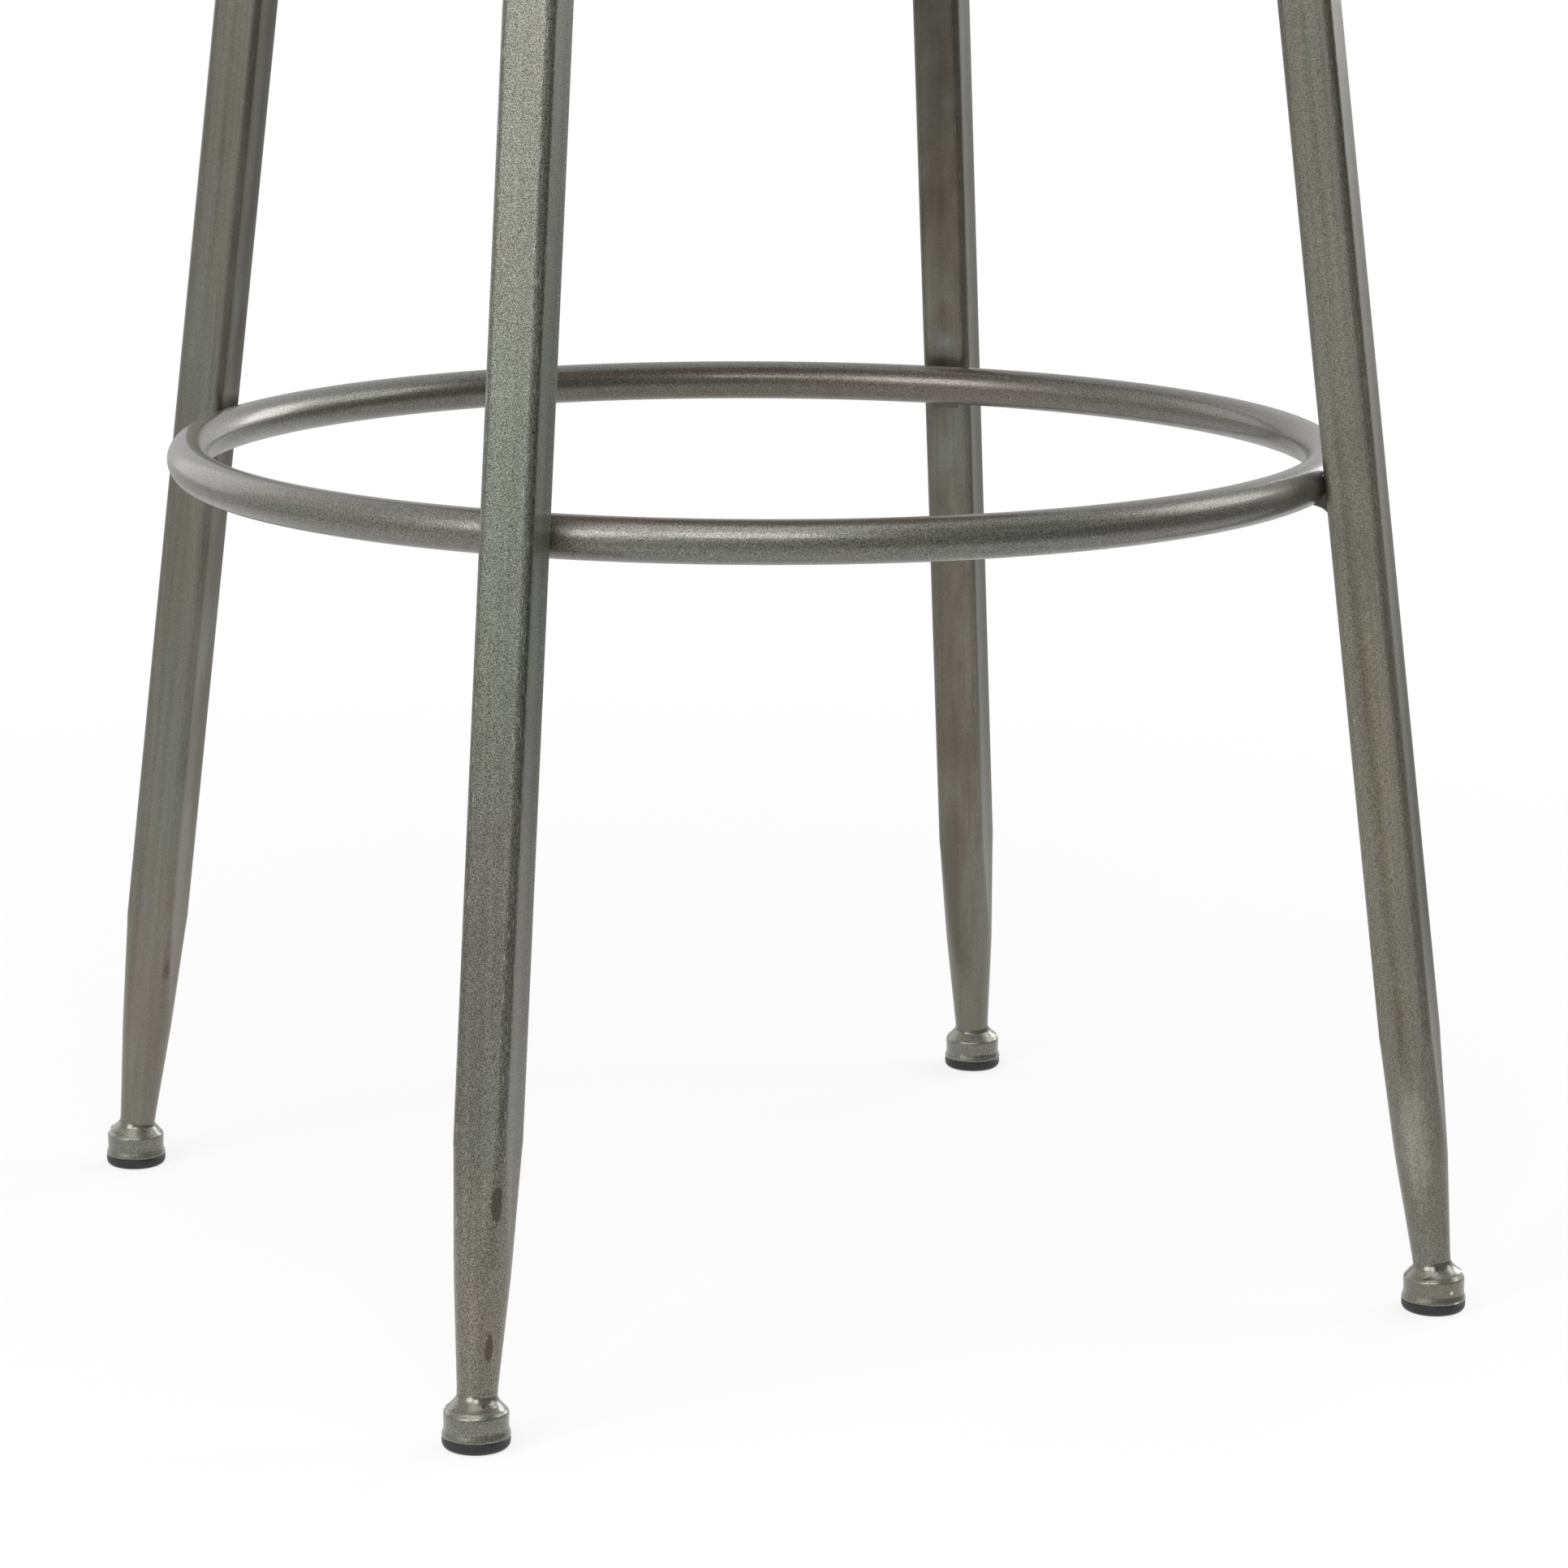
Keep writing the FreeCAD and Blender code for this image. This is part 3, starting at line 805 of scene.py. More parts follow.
@dataclass(frozen=True)
class WeldMetal(Finish):
    """Weld metal under the same lacquer: it ran thick there, so it is glossier and smoother than on
    the tube, with pits left by the arc whose dark colour is painted shade. A blowhole is one deeper pit at a
    place of its own, painted dark in the same way."""

    name: str = "lacquered_weld"
    coat: str = "72736a"
    brown: str = "6a665b"
    # Painted shade: the dark of the pits and the blowhole
    pit: str = "26221c"
    metallic: float = 0.8
    roughness: float = 0.28
    clear_coat: float = 0.7
    clear_roughness: float = 0.1
    lump_size: float = 3.4
    lump_depth: float = 0.06
    flake_size: float = 0.55
    flake_contrast: float = 0.3
    pit_spacing: float = 8.0
    pit_roughness: float = 0.3
    blowhole: tuple[float, float, float] | None = None
    blowhole_radius: float = 0.9

    def shade(self, tree: NodeTree, place: NodeSocket) -> dict[str | int, object]:
        """Inputs of the shader: a lumpy tint with pits painted dark as their shade, and flakes over it.

        Args:
            tree: The node tree.
            place: Object coordinates.

        Returns:
            Values and sockets by the shader's inputs.
        """
        lumps = add_node(tree, "TexNoise", {
            "Scale": 1 / (self.lump_size * MM), "Detail": 3.0, "Vector": place})
        tint = add_node(tree, "Mix", {
            "data_type": "RGBA", "Factor": lumps, COLOUR_A: linear(self.coat), COLOUR_B: linear(self.brown)})
        cells = add_node(tree, "TexVoronoi", {
            "Scale": 1 / (self.pit_spacing * MM), "Randomness": 1.0, "Vector": place})
        pits = add_node(tree, "MapRange", {
            "Value": cells, "From Min": 0.1, "From Max": 0.2, "To Min": 0.8, "To Max": 0.0})
        if self.blowhole:
            centre = tuple(part * MM for part in self.blowhole)
            distance = add_node(tree, "VectorMath", {"operation": "DISTANCE", 0: place, 1: centre})
            hole = add_node(tree, "MapRange", {
                "Value": distance, "From Min": self.blowhole_radius * MM,
                "From Max": self.blowhole_radius / 2 * MM})
            pits = add_node(tree, "Math", {"operation": "MAXIMUM", 0: pits, 1: hole})
        # Painted shade: the pits and the blowhole drawn dark, besides their dents in the bump
        colour = add_node(tree, "Mix", {
            "data_type": "RGBA", "Factor": pits, COLOUR_A: tint, COLOUR_B: linear(self.pit)})
        # Flakes: drawn as coarse as on the tubes, so that they show
        flakes = add_node(tree, "TexNoise", {
            "Scale": 1 / (self.flake_size * MM), "Detail": 2.0, "Roughness": 0.65, "Vector": place})
        flake_light = add_node(tree, "MapRange", {
            "Value": flakes, "From Min": NOISE_LOW, "From Max": NOISE_HIGH,
            "To Min": 1 - self.flake_contrast, "To Max": 1 + self.flake_contrast})
        speckled = add_node(tree, "VectorMath", {"operation": "SCALE", 0: colour, "Scale": flake_light})
        dull = add_node(tree, "Math", {
            "operation": "MULTIPLY_ADD", 0: pits, 1: self.pit_roughness, 2: self.roughness})
        height = add_node(tree, "Math", {"operation": "SUBTRACT", 0: lumps, 1: pits})
        bump = add_node(tree, "Bump", {
            "Strength": 0.5, "Distance": self.lump_depth * MM, "Height": height})
        return {
            "Metallic": self.metallic, "Coat Weight": self.clear_coat,
            "Coat Roughness": self.clear_roughness, "Base Color": speckled, "Roughness": dull,
            "Normal": bump}


@dataclass(frozen=True)
class MouldedPlastic(Finish):
    """Black moulded plastic: a fine spark-eroded grain, and paler where it has rubbed."""

    name: str
    black: str = "222224"
    rubbed: str = "5a5752"
    rub_height: float = 1.4
    rub_full_height: float = 0.2
    rub_strength: float = 0.9
    roughness: float = 0.5
    grain_size: float = 0.5
    grain_depth: float = 0.05

    def shade(self, tree: NodeTree, place: NodeSocket) -> dict[str | int, object]:
        """Inputs of the shader: black with a grain, rubbed near the floor.

        Args:
            tree: The node tree.
            place: Object coordinates.

        Returns:
            Values and sockets by the shader's inputs.
        """
        # Grain: finer on the real plastic, drawn as coarse as it needs to be to show
        grains = add_node(tree, "TexNoise", {
            "Scale": 1 / (self.grain_size * MM), "Detail": 2.0, "Vector": place})
        low = add_node(tree, "MapRange", {
            "Value": add_node(tree, "SeparateXYZ", {"Vector": place}, "Z"),
            "From Min": self.rub_height * MM, "From Max": self.rub_full_height * MM,
            "To Min": 0.0, "To Max": self.rub_strength})
        share = add_node(tree, "Math", {"operation": "MULTIPLY", 0: low, 1: grains})
        colour = add_node(tree, "Mix", {
            "data_type": "RGBA", "Factor": share,
            COLOUR_A: linear(self.black), COLOUR_B: linear(self.rubbed)})
        bump = add_node(tree, "Bump", {
            "Strength": 0.25, "Distance": self.grain_depth * MM, "Height": grains})
        return {"Roughness": self.roughness, "IOR": 1.5, "Base Color": colour, "Normal": bump}


@dataclass(frozen=True)
class OiledElm(Finish):
    """Planed elm, oiled: growth rings drawn out along the stave, open pores, and a satin that the oil
    leaves deeper in the pores. Each stave is from another board, so its rings and tone differ."""

    name: str
    board: int
    pale: str = "a97e50"
    dark: str = "70482a"
    pore: str = "4c2f1b"
    ring_spacing: float = 7.0
    ring_stretch: float = 0.035
    wanders_per_metre: float = 28.0
    wander_reach: float = 14.0
    pore_width: float = 0.5
    pore_length: float = 14.0
    pore_depth: float = 0.12
    roughness: float = 0.42

    def shade(self, tree: NodeTree, place: NodeSocket) -> dict[str | int, object]:
        """Inputs of the shader: growth rings with pores, and the board's own tone.

        Args:
            tree: The node tree.
            place: Object coordinates.

        Returns:
            Values and sockets by the shader's inputs.
        """
        # Metres from the stool's axis to this board's place in its log
        log_place = (0.37 * self.board, 0.053 * (self.board % 3) - 0.06, 0.045 + 0.021 * self.board)
        board = add_node(tree, "VectorMath", {"operation": "ADD", 0: place, 1: log_place})
        long_grain = add_node(tree, "VectorMath", {
            "operation": "MULTIPLY", 0: board, 1: (self.ring_stretch, 1.0, 1.0)})
        wander = add_node(tree, "TexNoise", {
            "Scale": self.wanders_per_metre, "Detail": 2.0, "Roughness": 0.5, "Vector": long_grain},
            "Color")
        push = add_node(tree, "VectorMath", {
            "operation": "SCALE", 0: wander, "Scale": self.wander_reach * MM})
        bent = add_node(tree, "VectorMath", {"operation": "ADD", 0: long_grain, 1: push})
        rings = add_node(tree, "TexWave", {
            "wave_type": "RINGS", "rings_direction": "X", "wave_profile": "SAW",
            "Scale": 1 / (self.ring_spacing * MM * 2), "Distortion": 0.5, "Detail": 2.0,
            "Detail Scale": 1.5, "Vector": bent}, "Fac")
        late = add_node(tree, "MapRange", {
            "Value": rings, "From Min": 0.35, "From Max": 1.0, "To Max": 0.8,
            "interpolation_type": "SMOOTHSTEP"})
        timber = add_node(tree, "Mix", {
            "data_type": "RGBA", "Factor": late, COLOUR_A: linear(self.pale), COLOUR_B: linear(self.dark)})
        # Pores: narrower in real elm, drawn as wide as they need to be to show
        pore_space = add_node(tree, "VectorMath", {
            "operation": "DIVIDE", 0: board,
            1: (self.pore_length * MM, self.pore_width * MM, self.pore_width * MM)})
        pores = add_node(tree, "TexNoise", {
            "Scale": 1.0, "Detail": 2.0, "Roughness": 0.7, "Vector": pore_space})
        pore_share = add_node(tree, "MapRange", {
            "Value": pores, "From Min": 0.56, "From Max": 0.7, "To Max": 0.75})
        colour = add_node(tree, "Mix", {
            "data_type": "RGBA", "Factor": pore_share, COLOUR_A: timber, COLOUR_B: linear(self.pore)})
        tone = add_node(tree, "VectorMath", {
            "operation": "SCALE", 0: colour, "Scale": 0.72 + 0.08 * (self.board * 2 % 5)})
        dull = add_node(tree, "MapRange", {
            "Value": pore_share, "To Min": self.roughness - 0.06, "To Max": self.roughness + 0.16})
        dips = add_node(tree, "Math", {"operation": "MULTIPLY", 0: pore_share, 1: -1.0})
        bump = add_node(tree, "Bump", {
            "Strength": 0.5, "Distance": self.pore_depth * MM, "Height": dips})
        return {"IOR": 1.47, "Base Color": tone, "Roughness": dull, "Normal": bump}


@dataclass(frozen=True)
class BrightZinc(Finish):
    """Steel fasteners plated with bright zinc and passivated: a bluish silver with a faint haze."""

    name: str = "bright_zinc_plate"
    silver: str = "b9bdc2"
    haze: str = "a9a08a"
    roughness: float = 0.28
    haze_roughness: float = 0.15
    haze_size: float = 2.0

    def shade(self, tree: NodeTree, place: NodeSocket) -> dict[str | int, object]:
        """Inputs of the shader: silver that is duller where the haze lies.

        Args:
            tree: The node tree.
            place: Object coordinates.

        Returns:
            Values and sockets by the shader's inputs.
        """
        haze = add_node(tree, "TexNoise", {
            "Scale": 1 / (self.haze_size * MM), "Detail": 2.0, "Vector": place})
        colour = add_node(tree, "Mix", {
            "data_type": "RGBA", "Factor": haze, COLOUR_A: linear(self.silver), COLOUR_B: linear(self.haze)})
        dull = add_node(tree, "Math", {
            "operation": "MULTIPLY_ADD", 0: haze, 1: self.haze_roughness, 2: self.roughness})
        return {"Metallic": 1.0, "Base Color": colour, "Roughness": dull}


# Sub-assemblies


@dataclass(frozen=True)
class Stance:
    """Where the legs stand, how they lean, and the sizes that the sub-assemblies share."""

    foot_circle_radius: float = 277.8
    lean_deg: float = 7.27
    leg_width: float = 20.3
    neck_diameter: float = 14.4
    glide_height: float = 4.6
    cup_height: float = 12.4
    seat_height: float = 660.0
    seat_thickness: float = 30.0
    fit_up_gap: float = 0.3

    @property
    def lean(self) -> float:
        """Lean of the legs in radians."""
        return math.radians(self.lean_deg)

    @property
    def pivot_height(self) -> float:
        """Height where a leg's axis crosses the centre line of its foot."""
        return self.glide_height + self.cup_height / 2

    @property
    def cup_top(self) -> float:
        """Height of the foot cups' tops."""
        return self.glide_height + self.cup_height

    @property
    def seat_underside(self) -> float:
        """Height of the seat's underside."""
        return self.seat_height - self.seat_thickness

    def along_leg(self, height: float) -> float:
        """Distance along a leg's axis from its pivot to a height."""
        return (height - self.pivot_height) / math.cos(self.lean)

    def inner_face_radius(self, height: float) -> float:
        """Distance of a leg's inner face from the stool's axis at a height."""
        axis = self.foot_circle_radius - (height - self.pivot_height) * math.tan(self.lean)
        return axis - self.leg_width / 2 / math.cos(self.lean)

    def outer_face_radius(self, height: float) -> float:
        """Distance of a leg's outer face from the stool's axis at a height."""
        return self.inner_face_radius(height) + self.leg_width / math.cos(self.lean)

    def on_foot(self, corner: Corner) -> Matrix:
        """Move that stands a piece built about Z at the centre of a foot."""
        return turn(corner.value) @ shift(self.foot_circle_radius, 0, 0)

    def on_leg(self, corner: Corner) -> Matrix:
        """Move that lays a piece built along Z onto a leg's axis."""
        foot = turn(corner.value) @ shift(self.foot_circle_radius, 0, self.pivot_height)
        return foot @ turn(-self.lean_deg, "Y")


@dataclass(frozen=True)
class SwagedLegs:
    """Four legs of square tube, swaged from a square to a round neck at the foot."""

    stance: Stance
    corner_radius: float = 3.5
    face_hollow: float = 0.28
    neck_height: float = 20.0
    round_height: float = 62.0
    taper_height: float = 110.0
    top_gap: float = 1.5
    overrun: float = 8.0
    kink_spread: float = 2.0
    corner_steps: int = 8
    flat_cuts: int = 3
    taper_steps: int = 8

    def square_loop(self, height: float, corner: float, hollow: float) -> Object:
        """Outline of the square tube, with rounded corners and faintly hollow flats.

        Args:
            height: Height of the section on the stool.
            corner: Radius of the corners.
            hollow: Depth of the hollow in the flats.

        Returns:
            The outline as a closed loop of edges.
        """
        side = self.stance.leg_width
        level = self.stance.along_leg(height)
        loop = round_cornered(side, side, corner, self.corner_steps, shift(0, 0, level))
        straight = MERGE_DISTANCE * MM
        pick_edges(loop, lambda a, b: abs(a.x - b.x) < straight or abs(a.y - b.y) < straight)
        bpy.ops.mesh.subdivide(number_cuts=self.flat_cuts)
        flat_end = (side / 2 - corner) * MM - straight
        pick_points(loop, lambda point: min(abs(point.x), abs(point.y)) < flat_end)
        share = 1 - hollow / (side / 2)
        bpy.ops.transform.resize(value=(share, share, 1), center_override=(0, 0, level * MM))
        clear_selection()
        return loop

    def round_loop(self, height: float, radius: float) -> Object:
        """Round outline with as many points as the square one.

        Args:
            height: Height of the section on the stool.
            radius: Radius of the section.

        Returns:
            The outline as a closed loop of edges.
        """
        clear_selection()
        count = 4 * (self.corner_steps + 1 + self.flat_cuts)
        bpy.ops.mesh.primitive_circle_add(vertices=count, radius=radius * MM)
        return laid(bpy.context.object, shift(0, 0, self.stance.along_leg(height)))

    def blank(self) -> Object:
        """Draws one leg, upright about Z, from sections that turn from round to square.

        Returns:
            The leg, longer than needed at both ends.
        """
        half = self.stance.leg_width / 2
        neck = self.stance.neck_diameter / 2
        slope = (half - neck) / (self.round_height - self.neck_height)
        spread = self.kink_spread
        loops = [
            self.round_loop(self.stance.glide_height, neck),
            self.round_loop(self.neck_height - spread, neck),
            self.round_loop(self.neck_height + spread, neck + slope * spread),
            self.round_loop(self.round_height - spread, half - slope * spread),
        ]
        for step in range(1, self.taper_steps):
            share = step / self.taper_steps
            height = self.round_height + (self.taper_height - self.round_height) * share
            corner = half + (self.corner_radius - half) * share
            loops.append(self.square_loop(height, corner, self.face_hollow * share))
        top = self.stance.seat_underside + self.overrun
        for height in (self.taper_height - spread, self.taper_height + spread, top):
            loops.append(self.square_loop(height, self.corner_radius, self.face_hollow))
        leg = joined(loops)
        edit(leg)
        bpy.ops.mesh.bridge_edge_loops(type="SINGLE")
        close_up(leg)
        mark_grain(leg, lambda point: Vector((point.z, point.x, point.y)))
        return leg

    def build(self, coats: dict[Corner, Material]) -> None:
        """Makes the four legs and saws their ends level.

        Args:
            coats: Finish of each leg, with the marks that it bears.
        """
        blank = self.blank()
        high = Vector((0, 0, (self.stance.seat_underside - self.top_gap) * MM))
        low = Vector((0, 0, self.stance.cup_top * MM))
        for corner in Corner:
            leg = copied(blank, self.stance.on_leg(corner))
            saw(leg, high, Vector((0, 0, 1)))
            saw(leg, low, Vector((0, 0, -1)))
            name = f"{corner.label}_leg"
            hand_over(leg, name, [f"leg_{corner.label}"], coats[corner], TUBE_CREASE)
        discard(blank)


@dataclass(frozen=True)
class BellFeet:
    """Pressed cups, their welds and their glides, under the four legs."""

    stance: Stance
    lip_radius: float = 12.3
    waist_radius: float = 11.6
    lip_rise: float = 3.4
    shoulder_radius: float = 11.7
    shoulder_rise: float = 8.0
    shoulder_round: float = 1.6
    shoulder_slope_deg: float = 48.0
    top_radius: float = 8.4
    lip_round: float = 0.35
    flare_steps: int = 7
    wall_steps: int = 4
    slope_steps: int = 5
    dent_size: float = 7.0
    dent_depth: float = 0.35
    weld_rise: float = 3.4
    weld_reach: float = 3.7
    weld_foot: float = 2.6
    weld_depth: float = 1.0
    weld_bite: float = 0.1
    weld_skirt: float = 0.4
    weld_skirt_drop: float = 1.2
    weld_powers: tuple[float, float] = (1.7, 0.8)
    weld_steps: int = 18
    weld_lump_size: float = 8.0
    weld_lump_depth: float = 0.34
    glide_inset: float = 0.1
    glide_edge_radius: float = 2.6
    groove_depth: float = 0.35
    round_steps: int = 96

    def cup(self) -> Object:
        """Turns a bell-shaped cup with a rounded lip, a faint waist and a sloping top.

        Returns:
            The cup, upright about Z.
        """
        low = self.stance.glide_height
        lip = self.lip_radius - self.lip_round
        centre = (self.shoulder_radius - self.shoulder_round, low + self.shoulder_rise)
        waist = low + self.lip_rise
        outline = [(0, low), (lip - self.lip_round, low)]
        outline += arc_points((lip, low + self.lip_round), self.lip_round, -90, 0, 4)
        for step in range(1, self.flare_steps):
            share = step / self.flare_steps
            flare = share * share * (3 - 2 * share)
            outline.append((self.lip_radius + (self.waist_radius - self.lip_radius) * flare,
                            low + self.lip_round + (waist - low - self.lip_round) * share))
        outline.append((self.waist_radius, waist))
        for step in range(1, self.wall_steps):
            share = step / self.wall_steps
            outline.append((self.waist_radius + (self.shoulder_radius - self.waist_radius) * share,
                            waist + (centre[1] - waist) * share))
        outline += arc_points(centre, self.shoulder_round, 0, self.shoulder_slope_deg, 5)
        rim_radius, rim_height = outline[-1]
        for step in range(1, self.slope_steps + 1):
            share = step / self.slope_steps
            outline.append((rim_radius + (self.top_radius - rim_radius) * share,
                            rim_height + (self.stance.cup_top - rim_height) * share))
        outline.append((0, self.stance.cup_top))
        return turned(outline, self.round_steps)

    def weld(self) -> Object:
        """Turns a weld between a neck and its cup: a hollow fillet with a skirt over the cup's slope.

        Returns:
            The weld, in a leg's own axes.
        """
        base = self.stance.along_leg(self.stance.cup_top)
        neck = self.stance.neck_diameter / 2
        top = base + self.weld_rise
        toe_radius = neck + self.weld_reach
        toe_height = base - self.weld_foot
        across_power, down_power = self.weld_powers
        outline = [(neck - self.weld_depth, top)]
        for step in range(self.weld_steps + 1):
            share = step / self.weld_steps
            across = share ** across_power
            outline.append((neck - self.weld_bite + (toe_radius - neck + self.weld_bite) * across,
                            top + (toe_height - top) * share ** down_power))
        outline.append((toe_radius - self.weld_skirt, toe_height - self.weld_skirt_drop))
        outline.append((neck - self.weld_depth, toe_height - self.weld_skirt_drop))
        return turned(outline, self.round_steps, closed=True)

    def glide(self) -> Object:
        """Turns a glide with a rounded lower edge and a fine groove under the cup's lip.

        Returns:
            The glide, upright about Z.
        """
        radius = self.lip_radius - self.glide_inset
        edge = self.glide_edge_radius
        high = self.stance.glide_height
        outline = [(0, 0)]
        outline += arc_points((radius - edge, edge), edge, -90, 0, 10)
        outline += [
            (radius, high - 2 * self.groove_depth),
            (radius - self.groove_depth, high - self.groove_depth),
            (radius - self.groove_depth, high),
            (0, high),
        ]
        return turned(outline, self.round_steps)

    def build(self, coats: dict[Corner, Material], welds: dict[Corner, Material], plastic: Material) -> None:
        """Makes the four feet.

        Args:
            coats: Finish of each cup.
            welds: Finish of each weld.
            plastic: Finish of the glides.
        """
        dents = clouds("cup_dents", self.dent_size)
        lumps = clouds("neck_weld_lumps", self.weld_lump_size)
        cup_blank = self.cup()
        weld_blank = self.weld()
        glide_blank = self.glide()
        waist = self.waist_radius * MM
        mark_grain(cup_blank, lambda point: Vector((math.atan2(point.y, point.x) * waist, point.z, 0.0)))
        for corner in Corner:
            label = corner.label
            cup = copied(cup_blank, self.stance.on_foot(corner))
            uneven(cup, dents, self.dent_depth)
            hand_over(
                cup, f"{label}_foot_cup", [f"foot_cup_{label}"], coats[corner], CUP_CREASE)
            bead = copied(weld_blank, self.stance.on_leg(corner))
            uneven(bead, lumps, self.weld_lump_depth)
            hand_over(
                bead, f"{label}_foot_weld", [f"foot_weld_{label}"], welds[corner], WELD_CREASE)
            glide = copied(glide_blank, self.stance.on_foot(corner))
            hand_over(glide, f"{label}_glide", [f"foot_glide_{label}"], plastic, BAR_CREASE)
        for pattern in (cup_blank, weld_blank, glide_blank):
            discard(pattern)


@dataclass(frozen=True)
class BeadTool:
    """Short weld beads: a row of ripples laid down by the arc, with round ends."""

    weld: Material
    ripple_pitch: float = 1.7
    ripple_depth: float = 0.22
    ripple_steps: int = 6
    end_deg: float = 10.0
    end_steps: int = 8
    round_steps: int = 28
    lump_size: float = 2.6
    lump_depth: float = 0.5

    def bead(self, radius: float, length: float) -> Object:
        """Turns a bead along Z, centred on the origin.

        Args:
            radius: Radius of the bead.
            length: Length without the round ends.

        Returns:
            The bead.
        """
        half = length / 2
        outline = arc_points((0, -half), radius, -90, -self.end_deg, self.end_steps)
        count = max(self.ripple_steps, round(length / self.ripple_pitch) * self.ripple_steps)
        for step in range(count + 1):
            height = -half + length * step / count
            wave = (1 - math.cos(FULL_TURN * (height + half) / self.ripple_pitch)) / 2
            outline.append((radius - self.ripple_depth * wave, height))
        outline += arc_points((0, half), radius, self.end_deg, 90, self.end_steps)
        outline[0] = (0, outline[0][1])
        outline[-1] = (0, outline[-1][1])
        return turned(outline, self.round_steps)

    def lay(self, beads: list[Object], lumps: Texture, name: str, node: str) -> None:
        """Makes beads one uneven piece and puts it on the stool.

        Args:
            beads: The beads in their places.
            lumps: Noise of their surface.
            name: Name of the piece.
            node: The CAD node that it stands for.
        """
        piece = joined(beads)
        uneven(piece, lumps, self.lump_depth)
        hand_over(piece, name, [node], self.weld, WELD_CREASE)


@dataclass(frozen=True)
class FootRing:
    """Round tube rolled to a ring, its ground seam and its weld beads on the legs."""

    stance: Stance
    height: float = 316.0
    tube_diameter: float = 16.0
    seam_width: float = 2.0
    seam_offset: float = 16.5
    bead_radius: float = 1.6
    bead_length: float = 8.0
    bead_reach_share: float = 0.46
    bead_stand_off: float = 1.0
    fillet_toe: float = 12.2
    fillet_hollow: tuple[float, float] = (1.9, 9.3)
    fillet_end: tuple[float, float] = (6.3, 7.5)
    fillet_back: tuple[float, float] = (1.0, 1.5)
    fillet_root: float = 3.0
    fillet_shelf: float = 0.5
    fillet_bite: float = 0.2
    fillet_heel: float = 0.6
    fillet_length: float = 10.6
    fillet_wear: float = 0.5
    fillet_steps: int = 12
    fillet_cuts: int = 8
    ring_steps: int = 240
    seam_steps: int = 6
    tube_steps: int = 40

    @property
    def radius(self) -> float:
        """Radius of the ring's centre line."""
        gap = (self.tube_diameter / 2 + self.stance.fit_up_gap) / math.cos(self.stance.lean)
        return self.stance.inner_face_radius(self.height) - gap

    def stretch(self, start: float, sweep: float, steps: int) -> Object:
        """Rolls a stretch of the tube.

        Args:
            start: Azimuth of its first end, in radians.
            sweep: Angle that it covers, in radians.
            steps: Number of faces along it.

        Returns:
            The stretch, closed at both ends.
        """
        clear_selection()
        bpy.ops.mesh.primitive_circle_add(
            vertices=self.tube_steps, radius=self.tube_diameter / 2 * MM, rotation=(math.pi / 2, 0, 0),
            location=(self.radius * MM, 0, self.height * MM))
        section = laid(bpy.context.object, bpy.context.object.matrix_world.copy())
        edit(section)
        return rolled(section, (self.radius, self.height), start, sweep, steps)

    def fillet(self) -> Object:
        """Draws a hollow fillet for the corner under the ring, with its ends worn round.

        Returns:
            The fillet, in a leg's own axes.
        """
        lean = self.stance.lean
        rise = (self.height - self.stance.pivot_height) * math.cos(lean)
        level = rise + (self.stance.foot_circle_radius - self.radius) * math.sin(lean)
        face = self.stance.leg_width / 2
        end_reach, end_drop = self.fillet_end
        hollow_reach, hollow_drop = self.fillet_hollow
        back_reach, back_drop = self.fillet_back
        # A curve from the toe to the end that passes through the hollow's deepest place
        pull = 2 * hollow_reach - end_reach / 2
        sink = 2 * hollow_drop - (self.fillet_toe + end_drop) / 2
        outline = []
        for step in range(self.fillet_steps + 1):
            share = step / self.fillet_steps
            toe_part, hollow_part, end_part = (1 - share) ** 2, 2 * share * (1 - share), share ** 2
            outline.append((hollow_part * pull + end_part * end_reach,
                            toe_part * self.fillet_toe + hollow_part * sink + end_part * end_drop))
        outline += [
            (end_reach - back_reach, end_drop - back_drop),
            (self.fillet_shelf, self.fillet_root),
            (-self.fillet_bite, self.fillet_root),
            (-self.fillet_bite, self.fillet_toe - self.fillet_heel),
        ]
        bar = drawn([(-face - reach, level - drop) for reach, drop in outline], closed=True)
        bpy.ops.mesh.select_all(action="SELECT")
        bpy.ops.mesh.edge_face_add()
        bpy.ops.transform.translate(value=(0, -self.fillet_length / 2 * MM, 0))
        stride = (0, self.fillet_length / self.fillet_cuts * MM, 0)
        for _ in range(self.fillet_cuts):
            bpy.ops.mesh.extrude_region_move(TRANSFORM_OT_translate={"value": stride})
        close_up(bar)
        eased(bar, self.fillet_wear, 3, 1.0)
        return bar

    def build(self, coat: Material, tool: BeadTool) -> None:
        """Makes the ring, its seam and its beads.

        Args:
            coat: Finish of the ring and the seam.
            tool: The way that beads are laid.
        """
        sweep = self.seam_width / self.radius
        seam_middle = math.radians(Corner.FRONT_LEFT.value) + self.seam_offset / self.radius
        ring = self.stretch(seam_middle + sweep / 2, FULL_TURN - sweep, self.ring_steps)
        hand_over(ring, "foot_ring_tube", ["foot_ring"], coat, TUBE_CREASE)
        seam = self.stretch(seam_middle - sweep / 2, sweep, self.seam_steps)
        hand_over(seam, "foot_ring_seam", ["foot_ring_seam_weld"], coat, TUBE_CREASE)
        upper = tool.bead(self.bead_radius, self.bead_length)
        lower = self.fillet()
        height = self.height + self.tube_diameter / 2 * self.bead_reach_share
        radius = self.stance.inner_face_radius(height) - self.bead_stand_off
        on_face = shift(radius, 0, height) @ turn(90, "X")
        lumps = clouds("ring_bead_lumps", tool.lump_size)
        for corner in Corner:
            beads = [copied(upper, turn(corner.value) @ on_face), copied(lower, self.stance.on_leg(corner))]
            tool.lay(beads, lumps, f"{corner.label}_ring_weld", f"ring_weld_{corner.label}")
        discard(upper)
        discard(lower)


